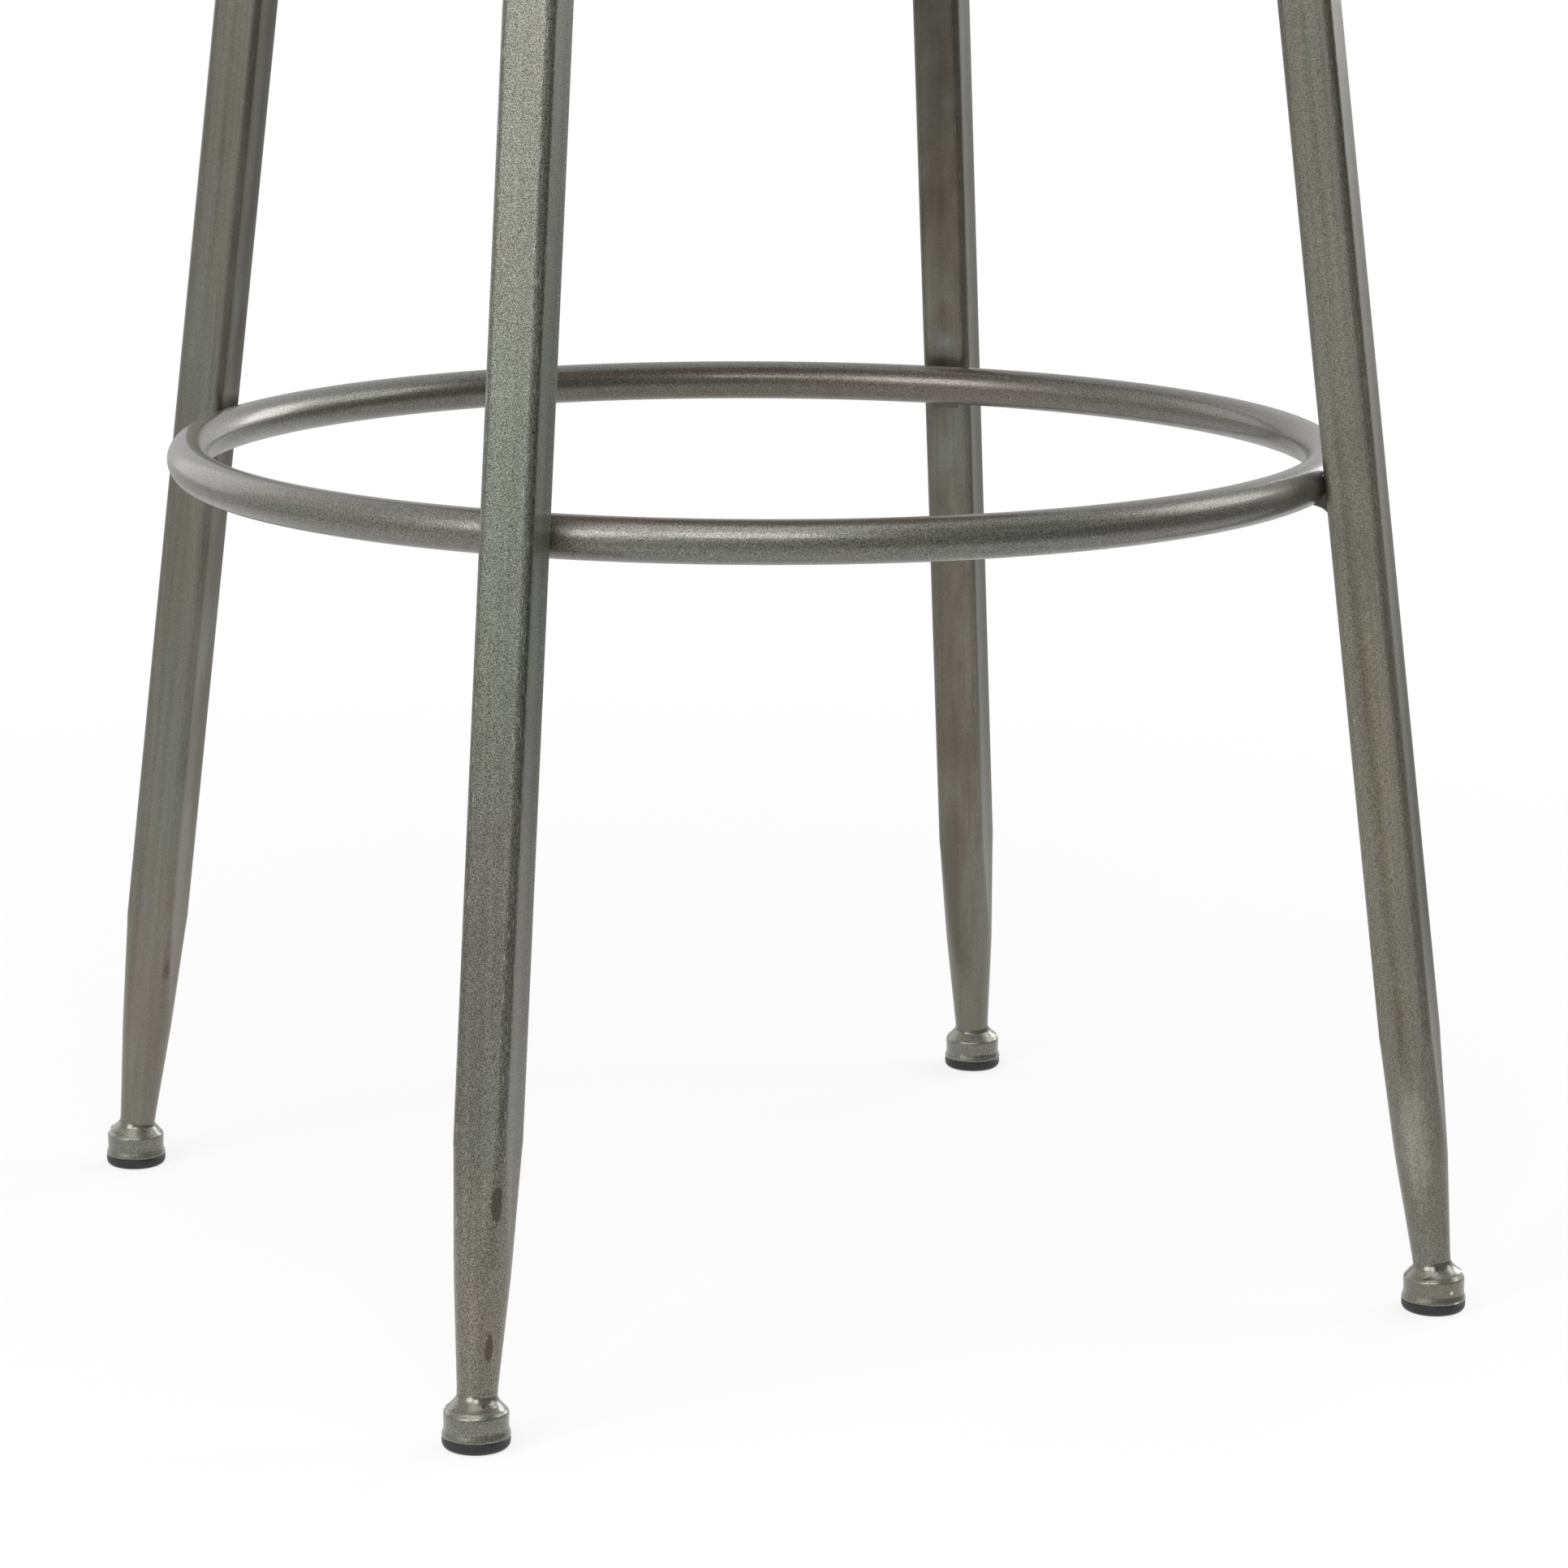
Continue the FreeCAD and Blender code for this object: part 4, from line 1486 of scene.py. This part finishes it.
@dataclass(frozen=True)
class SeatFrame:
    """Hoop of flat bar between the leg tops, the straps inside it, and the seat's screws."""

    stance: Stance
    hoop_depth: float = 25.0
    hoop_thickness: float = 4.0
    hoop_seam_width: float = 2.0
    hoop_seam_azimuth_deg: float = 112.0
    hoop_bead_radius: float = 3.7
    hoop_bead_inset: float = 2.0
    plug_flange: float = 1.5
    strap_width: float = 30.0
    strap_thickness: float = 4.0
    strap_bead_radius: float = 2.6
    strap_bead_length: float = 24.0
    edge_round: float = 0.6
    edge_angle: float = 0.9
    hoop_steps: int = 192
    seam_steps: int = 4
    coping_steps: int = 256
    screw_shank_radius: float = 2.2
    screw_length: float = 22.0
    screw_tip_length: float = 4.0
    screw_head_radius: float = 4.3
    screw_head_height: float = 2.8
    screw_head_edge: float = 0.8
    screw_head_steps: int = 8
    screw_radius_shares: tuple[float, float] = (0.34, 0.76)
    screw_hole_clearance: float = 0.4
    screw_steps: int = 32
    recess_length: float = 4.6
    recess_width: float = 1.0
    recess_depth: float = 1.5
    washer_radius: float = 5.6
    washer_thickness: float = 1.0
    washer_steps: int = 40

    @property
    def hoop_outer(self) -> float:
        """Outer radius of the hoop."""
        return self.stance.inner_face_radius(self.stance.seat_underside) - self.stance.fit_up_gap

    @property
    def hoop_inner(self) -> float:
        """Inner radius of the hoop."""
        return self.hoop_outer - self.hoop_thickness

    @property
    def strap_end(self) -> float:
        """Radius where the straps end."""
        return self.hoop_inner - self.stance.fit_up_gap

    @property
    def strap_underside(self) -> float:
        """Height of the straps' undersides."""
        return self.stance.seat_underside - self.strap_thickness

    @property
    def screw_hole_radius(self) -> float:
        """Radius of the holes in straps and washers."""
        return self.screw_shank_radius + self.screw_hole_clearance

    def hoop_stretch(self, start: float, sweep: float, steps: int) -> Object:
        """Rolls a stretch of the hoop, with eased edges.

        Args:
            start: Azimuth of its first end, in radians.
            sweep: Angle that it covers, in radians.
            steps: Number of faces along it.

        Returns:
            The stretch, closed at both ends.
        """
        middle = (self.hoop_outer + self.hoop_inner) / 2
        level = self.stance.seat_underside - self.hoop_depth / 2
        place = shift(middle, 0, level) @ turn(90, "X")
        section = round_cornered(self.hoop_thickness, self.hoop_depth, self.edge_round, 3, place)
        return rolled(section, (middle, level), start, sweep, steps)

    def screw_places(self) -> list[Matrix]:
        """Moves from the stool's axis to each seat screw."""
        reaches = [self.strap_end * share for share in self.screw_radius_shares]
        return [turn(90 * quarter) @ shift(reach, 0, 0) for quarter in range(4) for reach in reaches]

    def strap(self, start: float, azimuth_deg: float, shares: tuple[float, ...]) -> Object:
        """Cuts a strap with eased edges, coped to the hoop and drilled for its screws.

        Args:
            start: Distance of its first end from the stool's axis.
            azimuth_deg: Direction in which it runs.
            shares: Places of its screws as shares of the straps' end radius.

        Returns:
            The strap.
        """
        level = self.strap_underside + self.strap_thickness / 2
        size = (self.hoop_inner - start, self.strap_width, self.strap_thickness)
        bar = block(size, shift((start + self.hoop_inner) / 2, 0, level))
        through = 4 * self.strap_thickness
        cut_with(bar, rod(self.strap_end, through, (0, level), self.coping_steps), "INTERSECT")
        for share in shares:
            place = (self.strap_end * share, level)
            cut_with(bar, rod(self.screw_hole_radius, through, place, self.screw_steps))
        eased(bar, self.edge_round, 2, self.edge_angle)
        close_up(bar)
        mark_grain(bar, lambda point: Vector((point.x, point.z - level * MM, point.y)))
        return laid(bar, turn(azimuth_deg))

    def screw(self) -> Object:
        """Turns a pan-head wood screw with a cross recess, point up, under the washer.

        Returns:
            The screw, on the stool's axis.
        """
        seat = self.strap_underside - self.washer_thickness
        edge = seat - self.screw_head_edge
        crown = seat - self.screw_head_height
        tip = seat + self.screw_length
        outline = [(0, crown)]
        for step in range(1, self.screw_head_steps + 1):
            angle = math.pi / 2 * step / self.screw_head_steps
            rise = (edge - crown) * math.cos(angle)
            outline.append((self.screw_head_radius * math.sin(angle), edge - rise))
        outline += [
            (self.screw_head_radius, seat),
            (self.screw_shank_radius, seat),
            (self.screw_shank_radius, tip - self.screw_tip_length),
            (0, tip),
        ]
        screw = turned(outline, self.screw_steps)
        for angle_deg in (0, 90):
            size = (self.recess_length, self.recess_width, 2 * self.recess_depth)
            cut_with(screw, block(size, shift(0, 0, crown) @ turn(angle_deg)))
        return screw

    def washer(self) -> Object:
        """Turns a flat washer with its edges eased.

        Returns:
            The washer, on the stool's axis under a strap's level.
        """
        inner = self.screw_hole_radius
        high = self.strap_underside
        low = high - self.washer_thickness
        ease = self.washer_thickness / 6
        return turned([
            (inner, low), (self.washer_radius - ease, low), (self.washer_radius, low + ease),
            (self.washer_radius, high - ease), (self.washer_radius - ease, high), (inner, high),
        ], self.washer_steps, closed=True)

    def lay_beads(self, tool: BeadTool) -> None:
        """Makes the beads between hoop and legs, and under the straps.

        Args:
            tool: The way that beads are laid.
        """
        lumps = clouds("seat_bead_lumps", tool.lump_size)
        low = self.stance.along_leg(self.stance.seat_underside - self.hoop_depth + self.hoop_bead_inset)
        high = self.stance.along_leg(self.stance.seat_underside - self.hoop_bead_inset - self.plug_flange)
        side = self.stance.leg_width / 2
        upright = tool.bead(self.hoop_bead_radius, high - low - 2 * self.hoop_bead_radius)
        for corner in Corner:
            leg = self.stance.on_leg(corner)
            beads = [copied(upright, leg @ shift(-side, y, (low + high) / 2)) for y in (side, -side)]
            tool.lay(beads, lumps, f"{corner.label}_hoop_weld", f"hoop_weld_{corner.label}")
        discard(upright)
        flat = tool.bead(self.strap_bead_radius, self.strap_bead_length)
        for name, node, radius, azimuths in (
            ("strap_end_beads", "strap_end_welds", self.hoop_inner, (0, 90, 180, 270)),
            ("strap_centre_beads", "strap_centre_welds", self.strap_width / 2, (90, 270)),
        ):
            lying = shift(radius, 0, self.strap_underside) @ turn(90, "X")
            tool.lay([copied(flat, turn(azimuth) @ lying) for azimuth in azimuths], lumps, name, node)
        discard(flat)

    def build(self, coat: Material, zinc: Material, tool: BeadTool) -> None:
        """Makes the hoop, the straps, their beads, and the screws with their washers.

        Args:
            coat: Finish of the hoop and the straps.
            zinc: Finish of the screws and washers.
            tool: The way that beads are laid.
        """
        seam = math.radians(self.hoop_seam_azimuth_deg)
        sweep = self.hoop_seam_width / self.hoop_outer
        hoop = self.hoop_stretch(seam + sweep, FULL_TURN - sweep, self.hoop_steps)
        hand_over(hoop, "seat_hoop_bar", ["seat_hoop"], coat, BAR_CREASE)
        seam_weld = self.hoop_stretch(seam, sweep, self.seam_steps)
        hand_over(seam_weld, "seat_hoop_seam", ["seat_hoop_seam_weld"], coat, BAR_CREASE)
        near, far = self.screw_radius_shares
        for name, node, start, azimuth_deg, shares in (
            ("long_strap", "seat_strap_long", -self.hoop_inner, 0.0, (-far, -near, near, far)),
            ("rear_strap", "seat_strap_rear", self.strap_width / 2, 90.0, (near, far)),
            ("front_strap", "seat_strap_front", self.strap_width / 2, 270.0, (near, far)),
        ):
            strap = self.strap(start, azimuth_deg, shares)
            hand_over(strap, name, [node], coat, BAR_CREASE)
        self.lay_beads(tool)
        for name, node, pattern in (
            ("seat_screw_set", "seat_screws", self.screw()),
            ("seat_washer_set", "seat_washers", self.washer()),
        ):
            fasteners = joined([copied(pattern, place) for place in self.screw_places()])
            hand_over(fasteners, name, [node], zinc, BAR_CREASE)
            discard(pattern)


@dataclass(frozen=True)
class BoardSeat:
    """Round seat of glued staves, with a shallow dish and rounded edges."""

    stance: Stance
    overhang: float = 6.4
    top_round: float = 8.0
    bottom_round: float = 4.0
    dish_depth: float = 6.0
    dish_hollow_share: float = 0.72
    stave_count: int = 5
    joint_ease: float = 0.7
    joint_angle: float = 0.9
    round_steps: int = 200

    @property
    def radius(self) -> float:
        """Radius of the seat."""
        return self.stance.outer_face_radius(self.stance.seat_underside) + self.overhang

    def blank(self) -> Object:
        """Turns the whole board, before it is sawn into its staves.

        Returns:
            The board.
        """
        low = self.stance.seat_underside
        high = self.stance.seat_height
        rim = self.radius - self.top_round
        outline = [(0, low)]
        for share in (0.25, 0.5, 0.75):
            outline.append((rim * share, low))
        lower_edge = (self.radius - self.bottom_round, low + self.bottom_round)
        outline += arc_points(lower_edge, self.bottom_round, -90, 0, 6)
        outline += arc_points((rim, high - self.top_round), self.top_round, 0, 90, 10)
        # The dish: a round lip at the rim and a hollow in the middle that meet without a kink
        whole = (rim * rim + self.dish_depth * self.dish_depth) / (2 * self.dish_depth)
        hollow = whole * self.dish_hollow_share
        lip = whole - hollow
        slope_deg = math.degrees(2 * math.atan(self.dish_depth / rim))
        outline += arc_points((rim, high - lip), lip, 90, 90 + slope_deg, 8)[1:]
        outline += arc_points((0, high - self.dish_depth + hollow), hollow, slope_deg - 90, -90, 16)[1:]
        outline[-1] = (0, outline[-1][1])
        return turned(outline, self.round_steps)

    def build(self, boards: list[Material]) -> None:
        """Makes the staves.

        Args:
            boards: One finish for each stave, from the front to the back.
        """
        blank = self.blank()
        width = 2 * self.radius / self.stave_count
        for index, board in enumerate(boards):
            stave = copied(blank, Matrix.Identity(4))
            front = -self.radius + index * width
            if index > 0:
                saw(stave, Vector((0, front * MM, 0)), Vector((0, -1, 0)))
            if index < self.stave_count - 1:
                saw(stave, Vector((0, (front + width) * MM, 0)), Vector((0, 1, 0)))
            eased(stave, self.joint_ease, 2, self.joint_angle)
            number = index + 1
            node = f"seat_stave_{number}"
            hand_over(stave, f"elm_stave_{number}", [node], board, STAVE_CREASE)
        discard(blank)


# Studio


@dataclass(frozen=True)
class Softbox:
    """Square soft lamp, placed round the stool in metres."""

    name: str
    azimuth_deg: float
    distance: float
    height: float
    size: float
    power: float

    def hang(self, target: tuple[float, float, float]) -> None:
        """Adds the lamp.

        Args:
            target: Where it points, in metres.
        """
        azimuth = math.radians(self.azimuth_deg)
        place = Vector((self.distance * math.cos(azimuth), self.distance * math.sin(azimuth), self.height))
        data = bpy.data.lights.new(self.name, "AREA")
        data.shape = "SQUARE"
        data.size = self.size
        data.energy = self.power
        lamp = bpy.data.objects.new(self.name, data)
        bpy.context.scene.collection.objects.link(lamp)
        aim = (Vector(target) - place).to_track_quat("-Z", "Y")
        lamp.matrix_world = Matrix.Translation(place) @ aim.to_matrix().to_4x4()


@dataclass(frozen=True)
class Studio:
    """White studio with soft lamps, and the camera at the photograph's place."""

    camera_place: tuple[float, float, float] = (-0.8159, -1.7994, 0.5982)
    camera_heading: float = 0.4257
    camera_pan: float = 0.0055
    camera_pitch: float = -0.2066
    camera_roll: float = 0.0046
    lens: float = 117.5
    sensor: float = 36.0
    lamp_target: tuple[float, float, float] = (0.0, 0.0, 0.35)
    lamps: tuple[Softbox, ...] = (
        Softbox("top_softbox", 230.0, 0.8, 2.6, 1.8, 11.0),
        Softbox("front_softbox", 244.0, 2.1, 1.95, 1.1, 19.0),
        Softbox("left_softbox", 204.0, 2.5, 1.65, 1.4, 28.0),
        Softbox("rear_left_softbox", 114.0, 2.6, 1.1, 1.8, 7.0),
        Softbox("rear_softbox", 24.0, 2.4, 1.1, 1.0, 13.0),
        Softbox("right_softbox", 350.0, 2.3, 1.65, 1.2, 14.0),
    )
    floor_size: float = 14.0
    floor_white: float = 0.86
    floor_glow: float = 0.78
    floor_gloss: float = 0.76
    floor_near: float = 0.86
    shadow_fade: tuple[float, float] = (0.45, 1.35)
    near_fade: tuple[float, float] = (0.54, 1.08)
    ambient: float = 0.55
    gloss_white: float = 0.79
    card_azimuth_deg: float = 296.0
    floor_card_azimuth_deg: float = 312.0
    card_level: float = 0.22
    card_spread: tuple[float, float] = (0.15, 0.55)
    horizon_share: float = 0.76
    horizon_rise: float = 0.3

    def hang_camera(self) -> None:
        """Adds the camera: a long lens a little under the seat's height, on the left of the front."""
        data = bpy.data.cameras.new("photo_camera")
        data.lens = self.lens
        data.sensor_width = self.sensor
        camera = bpy.data.objects.new("photo_camera", data)
        bpy.context.scene.collection.objects.link(camera)
        cosine = math.cos(self.camera_pitch)
        forward = Vector((math.sin(self.camera_pan) * cosine, math.cos(self.camera_pan) * cosine,
                          math.sin(self.camera_pitch)))
        right = Vector((math.cos(self.camera_pan), -math.sin(self.camera_pan), 0))
        up = right.cross(forward)
        lean = Matrix.Rotation(-self.camera_roll, 3, forward)
        heading = Matrix.Rotation(-self.camera_heading, 3, "Z")
        columns = [heading @ (lean @ axis) for axis in (right, up, -forward)]
        place = Matrix(columns).transposed().to_4x4()
        place.translation = self.camera_place
        camera.matrix_world = place
        bpy.context.scene.camera = camera

    def seen_share(self, tree: NodeTree) -> NodeSocket:
        """One for camera, glossy and transmission rays, and zero for the others.

        Args:
            tree: The node tree.

        Returns:
            The share.
        """
        path = add_node(tree, "LightPath").node.outputs
        both = add_node(tree, "Math", {
            "operation": "ADD", 0: path["Is Camera Ray"], 1: path["Is Glossy Ray"]})
        return add_node(tree, "Math", {
            "operation": "ADD", "use_clamp": True, 0: both, 1: path["Is Transmission Ray"]})

    def white_for_camera(self, tree: NodeTree, level: NodeSocket) -> NodeSocket:
        """Level for the gloss, and white where the camera looks past the stool.

        Args:
            tree: The node tree.
            level: The level.

        Returns:
            The greater of the two.
        """
        camera_ray = add_node(tree, "LightPath", output="Is Camera Ray")
        return add_node(tree, "Math", {"operation": "MAXIMUM", 0: level, 1: camera_ray})

    def gloss_level(self, tree: NodeTree, direction: NodeSocket, card_azimuth_deg: float) -> NodeSocket:
        """How bright the studio is in a direction, for the gloss: pale, with a dark card on the
        camera's right.

        Args:
            tree: The node tree.
            direction: Direction from the stool, one long.
            card_azimuth_deg: Azimuth of the card's middle.

        Returns:
            The level.
        """
        azimuth = math.radians(card_azimuth_deg)
        start, end = self.card_spread
        towards = add_node(tree, "VectorMath", {
            "operation": "DOT_PRODUCT", 0: direction, 1: (math.cos(azimuth), math.sin(azimuth), 0.0)})
        return add_node(tree, "MapRange", {
            "Value": towards, "From Min": start, "From Max": end, "To Min": self.gloss_white,
            "To Max": self.card_level, "interpolation_type": "SMOOTHSTEP"})

    def lay_floor(self) -> None:
        """Adds the white floor, which glows for what sees it and keeps the stool's shadow."""
        clear_selection()
        bpy.ops.mesh.primitive_plane_add(size=self.floor_size)
        floor = bpy.context.object
        floor.name = "studio_floor"
        material = bpy.data.materials.new("white_floor")
        tree = emptied(material)
        place = add_node(tree, "TexCoord", output="Object")
        distance = add_node(tree, "VectorMath", {"operation": "LENGTH", 0: place})
        shadow_start, shadow_end = self.shadow_fade
        glow_share = add_node(tree, "MapRange", {
            "Value": distance, "From Min": shadow_start, "From Max": shadow_end,
            "To Min": self.floor_glow, "To Max": 1.0, "interpolation_type": "SMOOTHSTEP"})
        share = add_node(tree, "Math", {"operation": "MULTIPLY", 0: self.seen_share(tree), 1: glow_share})
        near_start, near_end = self.near_fade
        away = add_node(tree, "MapRange", {
            "Value": distance, "From Min": near_start, "From Max": near_end,
            "interpolation_type": "SMOOTHSTEP"})
        direction = add_node(tree, "VectorMath", {"operation": "NORMALIZE", 0: place})
        card = self.gloss_level(tree, direction, self.floor_card_azimuth_deg)
        far = add_node(tree, "Math", {"operation": "MULTIPLY", 0: card, 1: self.floor_gloss})
        level = add_node(tree, "Mix", {"data_type": "FLOAT", "Factor": away, "A": self.floor_near, "B": far})
        strength = self.white_for_camera(tree, level)
        white = self.floor_white
        paint = add_node(tree, "BsdfDiffuse", {"Color": (white, white, white, 1.0)})
        glow = add_node(tree, "Emission", {"Color": (1.0, 1.0, 1.0, 1.0), "Strength": strength})
        mixed = add_node(tree, "MixShader", {0: share, 1: paint, 2: glow})
        add_node(tree, "OutputMaterial", {"Surface": mixed})
        floor.data.materials.append(material)

    def hang_backdrop(self) -> None:
        """Sets the world: white behind the stool, and paler and darker for the gloss."""
        world = bpy.data.worlds.new("white_studio")
        bpy.context.scene.world = world
        tree = emptied(world)
        direction = add_node(tree, "TexCoord", output="Generated")
        horizon = add_node(tree, "MapRange", {
            "Value": add_node(tree, "SeparateXYZ", {"Vector": direction}, "Z"),
            "From Max": self.horizon_rise, "To Min": self.horizon_share,
            "interpolation_type": "SMOOTHSTEP"})
        card = self.gloss_level(tree, direction, self.card_azimuth_deg)
        level = add_node(tree, "Math", {"operation": "MULTIPLY", 0: card, 1: horizon})
        strength = add_node(tree, "Mix", {
            "data_type": "FLOAT", "Factor": self.seen_share(tree), "A": self.ambient,
            "B": self.white_for_camera(tree, level)})
        light = add_node(tree, "Background", {"Color": (1.0, 1.0, 1.0, 1.0), "Strength": strength})
        add_node(tree, "OutputWorld", {"Surface": light})

    def build(self) -> None:
        """Sets up the camera, the floor, the backdrop and the lamps."""
        self.hang_camera()
        self.lay_floor()
        self.hang_backdrop()
        for lamp in self.lamps:
            lamp.hang(self.lamp_target)
        bpy.context.scene.view_settings.view_transform = "Standard"


def leg_coats() -> dict[Corner, Material]:
    """Finish of each leg, with the staining, chips, painted shade and painted highlights that it bears. The
    two rear legs have weaker flakes, because they stand further back.

    Returns:
        The material of each leg.
    """
    coats = {
        Corner.FRONT_LEFT: GunmetalCoat(
            name="gunmetal_lacquer_front_left", cool="71756b", warm="74756a", flake_contrast=0.76,
            sparkle_size=0.48, flake_tilt=0.085, stains_and_painted_light=(
                # Painted dark reflection: a dark line down the corner between the outer face and a side face
                Mark(320.0, 8.1, 9.8, 520.0, 2.2, "2c2b2e", 0.8, 1.2),
                Mark(165.0, 0.0, 0.0, 210.0, 60.0, "625a55", 0.9, 1.4),
                Mark(38.0, 0.0, 0.0, 120.0, 60.0, "867b6f", 0.9, 1.4),
            ), marks=(
                Mark(77.9, 8.5, 8.0, 14.0, 4.2),
                Mark(26.0, 5.7, 6.2, 10.5, 3.0),
            )),
        Corner.FRONT_RIGHT: GunmetalCoat(
            name="gunmetal_lacquer_front_right", flake_contrast=0.44, scratch_strength=0.4, stains_and_painted_light=(
                # Painted dark reflection: a dark line down the corner between the outer face and a side face
                Mark(430.0, 9.6, -8.3, 300.0, 2.4, "38383a", 0.7, 1.2),
                Mark(265.0, 0.0, 0.0, 300.0, 60.0, "8d8877", 0.9, 1.4),
                Mark(215.0, -1.6, -10.2, 330.0, 7.0, "585139", 0.6, 1.3),
                # Painted highlight: a pale soft sheen on the taper's side face
                Mark(57.0, 0.8, -10.2, 54.0, 14.0, "aeaca2", 0.75, 1.4),
                Mark(101.0, -1.1, -10.2, 40.0, 5.0, "4e4830", 0.6, 1.2),
            )),
        Corner.REAR_RIGHT: GunmetalCoat(
            name="gunmetal_lacquer_rear_right", flake_contrast=0.2, flake_tilt=0.045,
            scratch_strength=0.2, stains_and_painted_light=(
                # Dark brown on the upper inner face: partly staining, partly painted shade under the seat
                Mark(445.0, -10.2, 0.0, 270.0, 34.0, "3f372b", 0.72, 1.2),
                # Painted shadow just above the foot ring, and a paler blue-grey patch above that
                Mark(318.5, -10.2, 0.0, 5.0, 18.0, "24211e", 0.45, 0.8),
                Mark(326.5, -10.2, 0.0, 9.0, 13.0, "8b8d90", 0.4, 1.0),
                Mark(338.0, -10.2, 0.0, 18.0, 8.0, "5c4838", 0.6, 1.0),
                Mark(291.0, -10.2, 1.0, 20.0, 14.0, "5c5040", 0.45, 1.0),
            )),
        Corner.REAR_LEFT: GunmetalCoat(
            name="gunmetal_lacquer_rear_left", flake_contrast=0.2, flake_tilt=0.045,
            scratch_strength=0.2, stains_and_painted_light=(
                # Painted shade: the upper part of the leg drawn darker, under the seat
                Mark(440.0, 0.0, 0.0, 280.0, 60.0, "605f56", 0.9, 1.4),
                Mark(70.0, 0.0, 0.0, 170.0, 60.0, "7e7465", 0.9, 1.4),
                Mark(77.7, -9.7, 6.0, 11.0, 5.0, "453c30", 0.6, 0.8),
            )),
    }
    return {corner: coat.build() for corner, coat in coats.items()}


def cup_coats() -> dict[Corner, Material]:
    """Finish of each foot cup, where the lacquer is glossier. The front right cup bears two knocks.

    Returns:
        The material of each cup.
    """
    coat = GunmetalCoat(
        name="gunmetal_lacquer_cups", flake_contrast=0.5, clear_coat=0.85, clear_roughness=0.1)
    knocked_coat = GunmetalCoat(
        name="gunmetal_lacquer_knocked_cup", flake_contrast=0.4, clear_coat=0.85, clear_roughness=0.1,
        marks=(
            Mark(-8.2, 9.3, 0.0, 1.3, 1.4, "e0ded4", 0.9),
            Mark(-6.0, 5.1, 0.0, 3.0, 0.7, "e0ded4", 0.9),
        ))
    return dict.fromkeys(Corner, coat.build()) | {Corner.FRONT_RIGHT: knocked_coat.build()}


def dress_plugs(plastic: Material) -> None:
    """Dresses the plugs in the leg tops, which stay as CAD nodes.

    Args:
        plastic: Their finish.
    """
    for corner in Corner:
        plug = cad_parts["leg_plug_" + corner.label]
        plug.data.materials.clear()
        plug.data.materials.append(plastic)
        LOG.info("%s: CAD node, dressed", plug.name)


def main() -> None:
    """Builds the stool's pieces round the CAD frame and sets the studio."""
    logging.basicConfig(level=logging.INFO, format="%(name)s %(message)s")
    stance = Stance()
    coat = GunmetalCoat().build()
    # The ring's coat is darker and browner on the inner, lower side of its back half: partly staining,
    # partly painted shade
    ring_coat = GunmetalCoat(
        name="gunmetal_lacquer_ring", cool="72736c", warm="75716b", clear_coat=0.62, clear_roughness=0.16,
        flake_tilt=0.075, stains_and_painted_light=(Mark(754.0, -6.0, -4.0, 520.0, 22.0, "554c3c", 0.9, 1.4),)).build()
    weld = WeldMetal().build()
    # The front left neck weld bears a blowhole, whose dark is painted shade
    pitted_weld = WeldMetal(name="pitted_weld", blowhole=(-196.8, -204.8, 17.1)).build()
    # The foot ring's welds drawn darker: partly soot, partly painted shade in the crevices under the ring
    soot_and_shade_weld = WeldMetal(name="soot_and_shade_weld", coat="4b4a44", brown="3f3b35").build()
    neck_welds = dict.fromkeys(Corner, weld) | {Corner.FRONT_LEFT: pitted_weld}
    SwagedLegs(stance).build(leg_coats())
    BellFeet(stance).build(cup_coats(), neck_welds, MouldedPlastic("glide_nylon").build())
    FootRing(stance).build(ring_coat, BeadTool(soot_and_shade_weld))
    SeatFrame(stance).build(coat, BrightZinc().build(), BeadTool(weld))
    seat = BoardSeat(stance)
    seat.build([OiledElm(f"oiled_elm_{index + 1}", index).build() for index in range(seat.stave_count)])
    dress_plugs(MouldedPlastic("plug_polythene", black="262627", roughness=0.42).build())
    Studio().build()


if __name__ == "__main__":
    main()
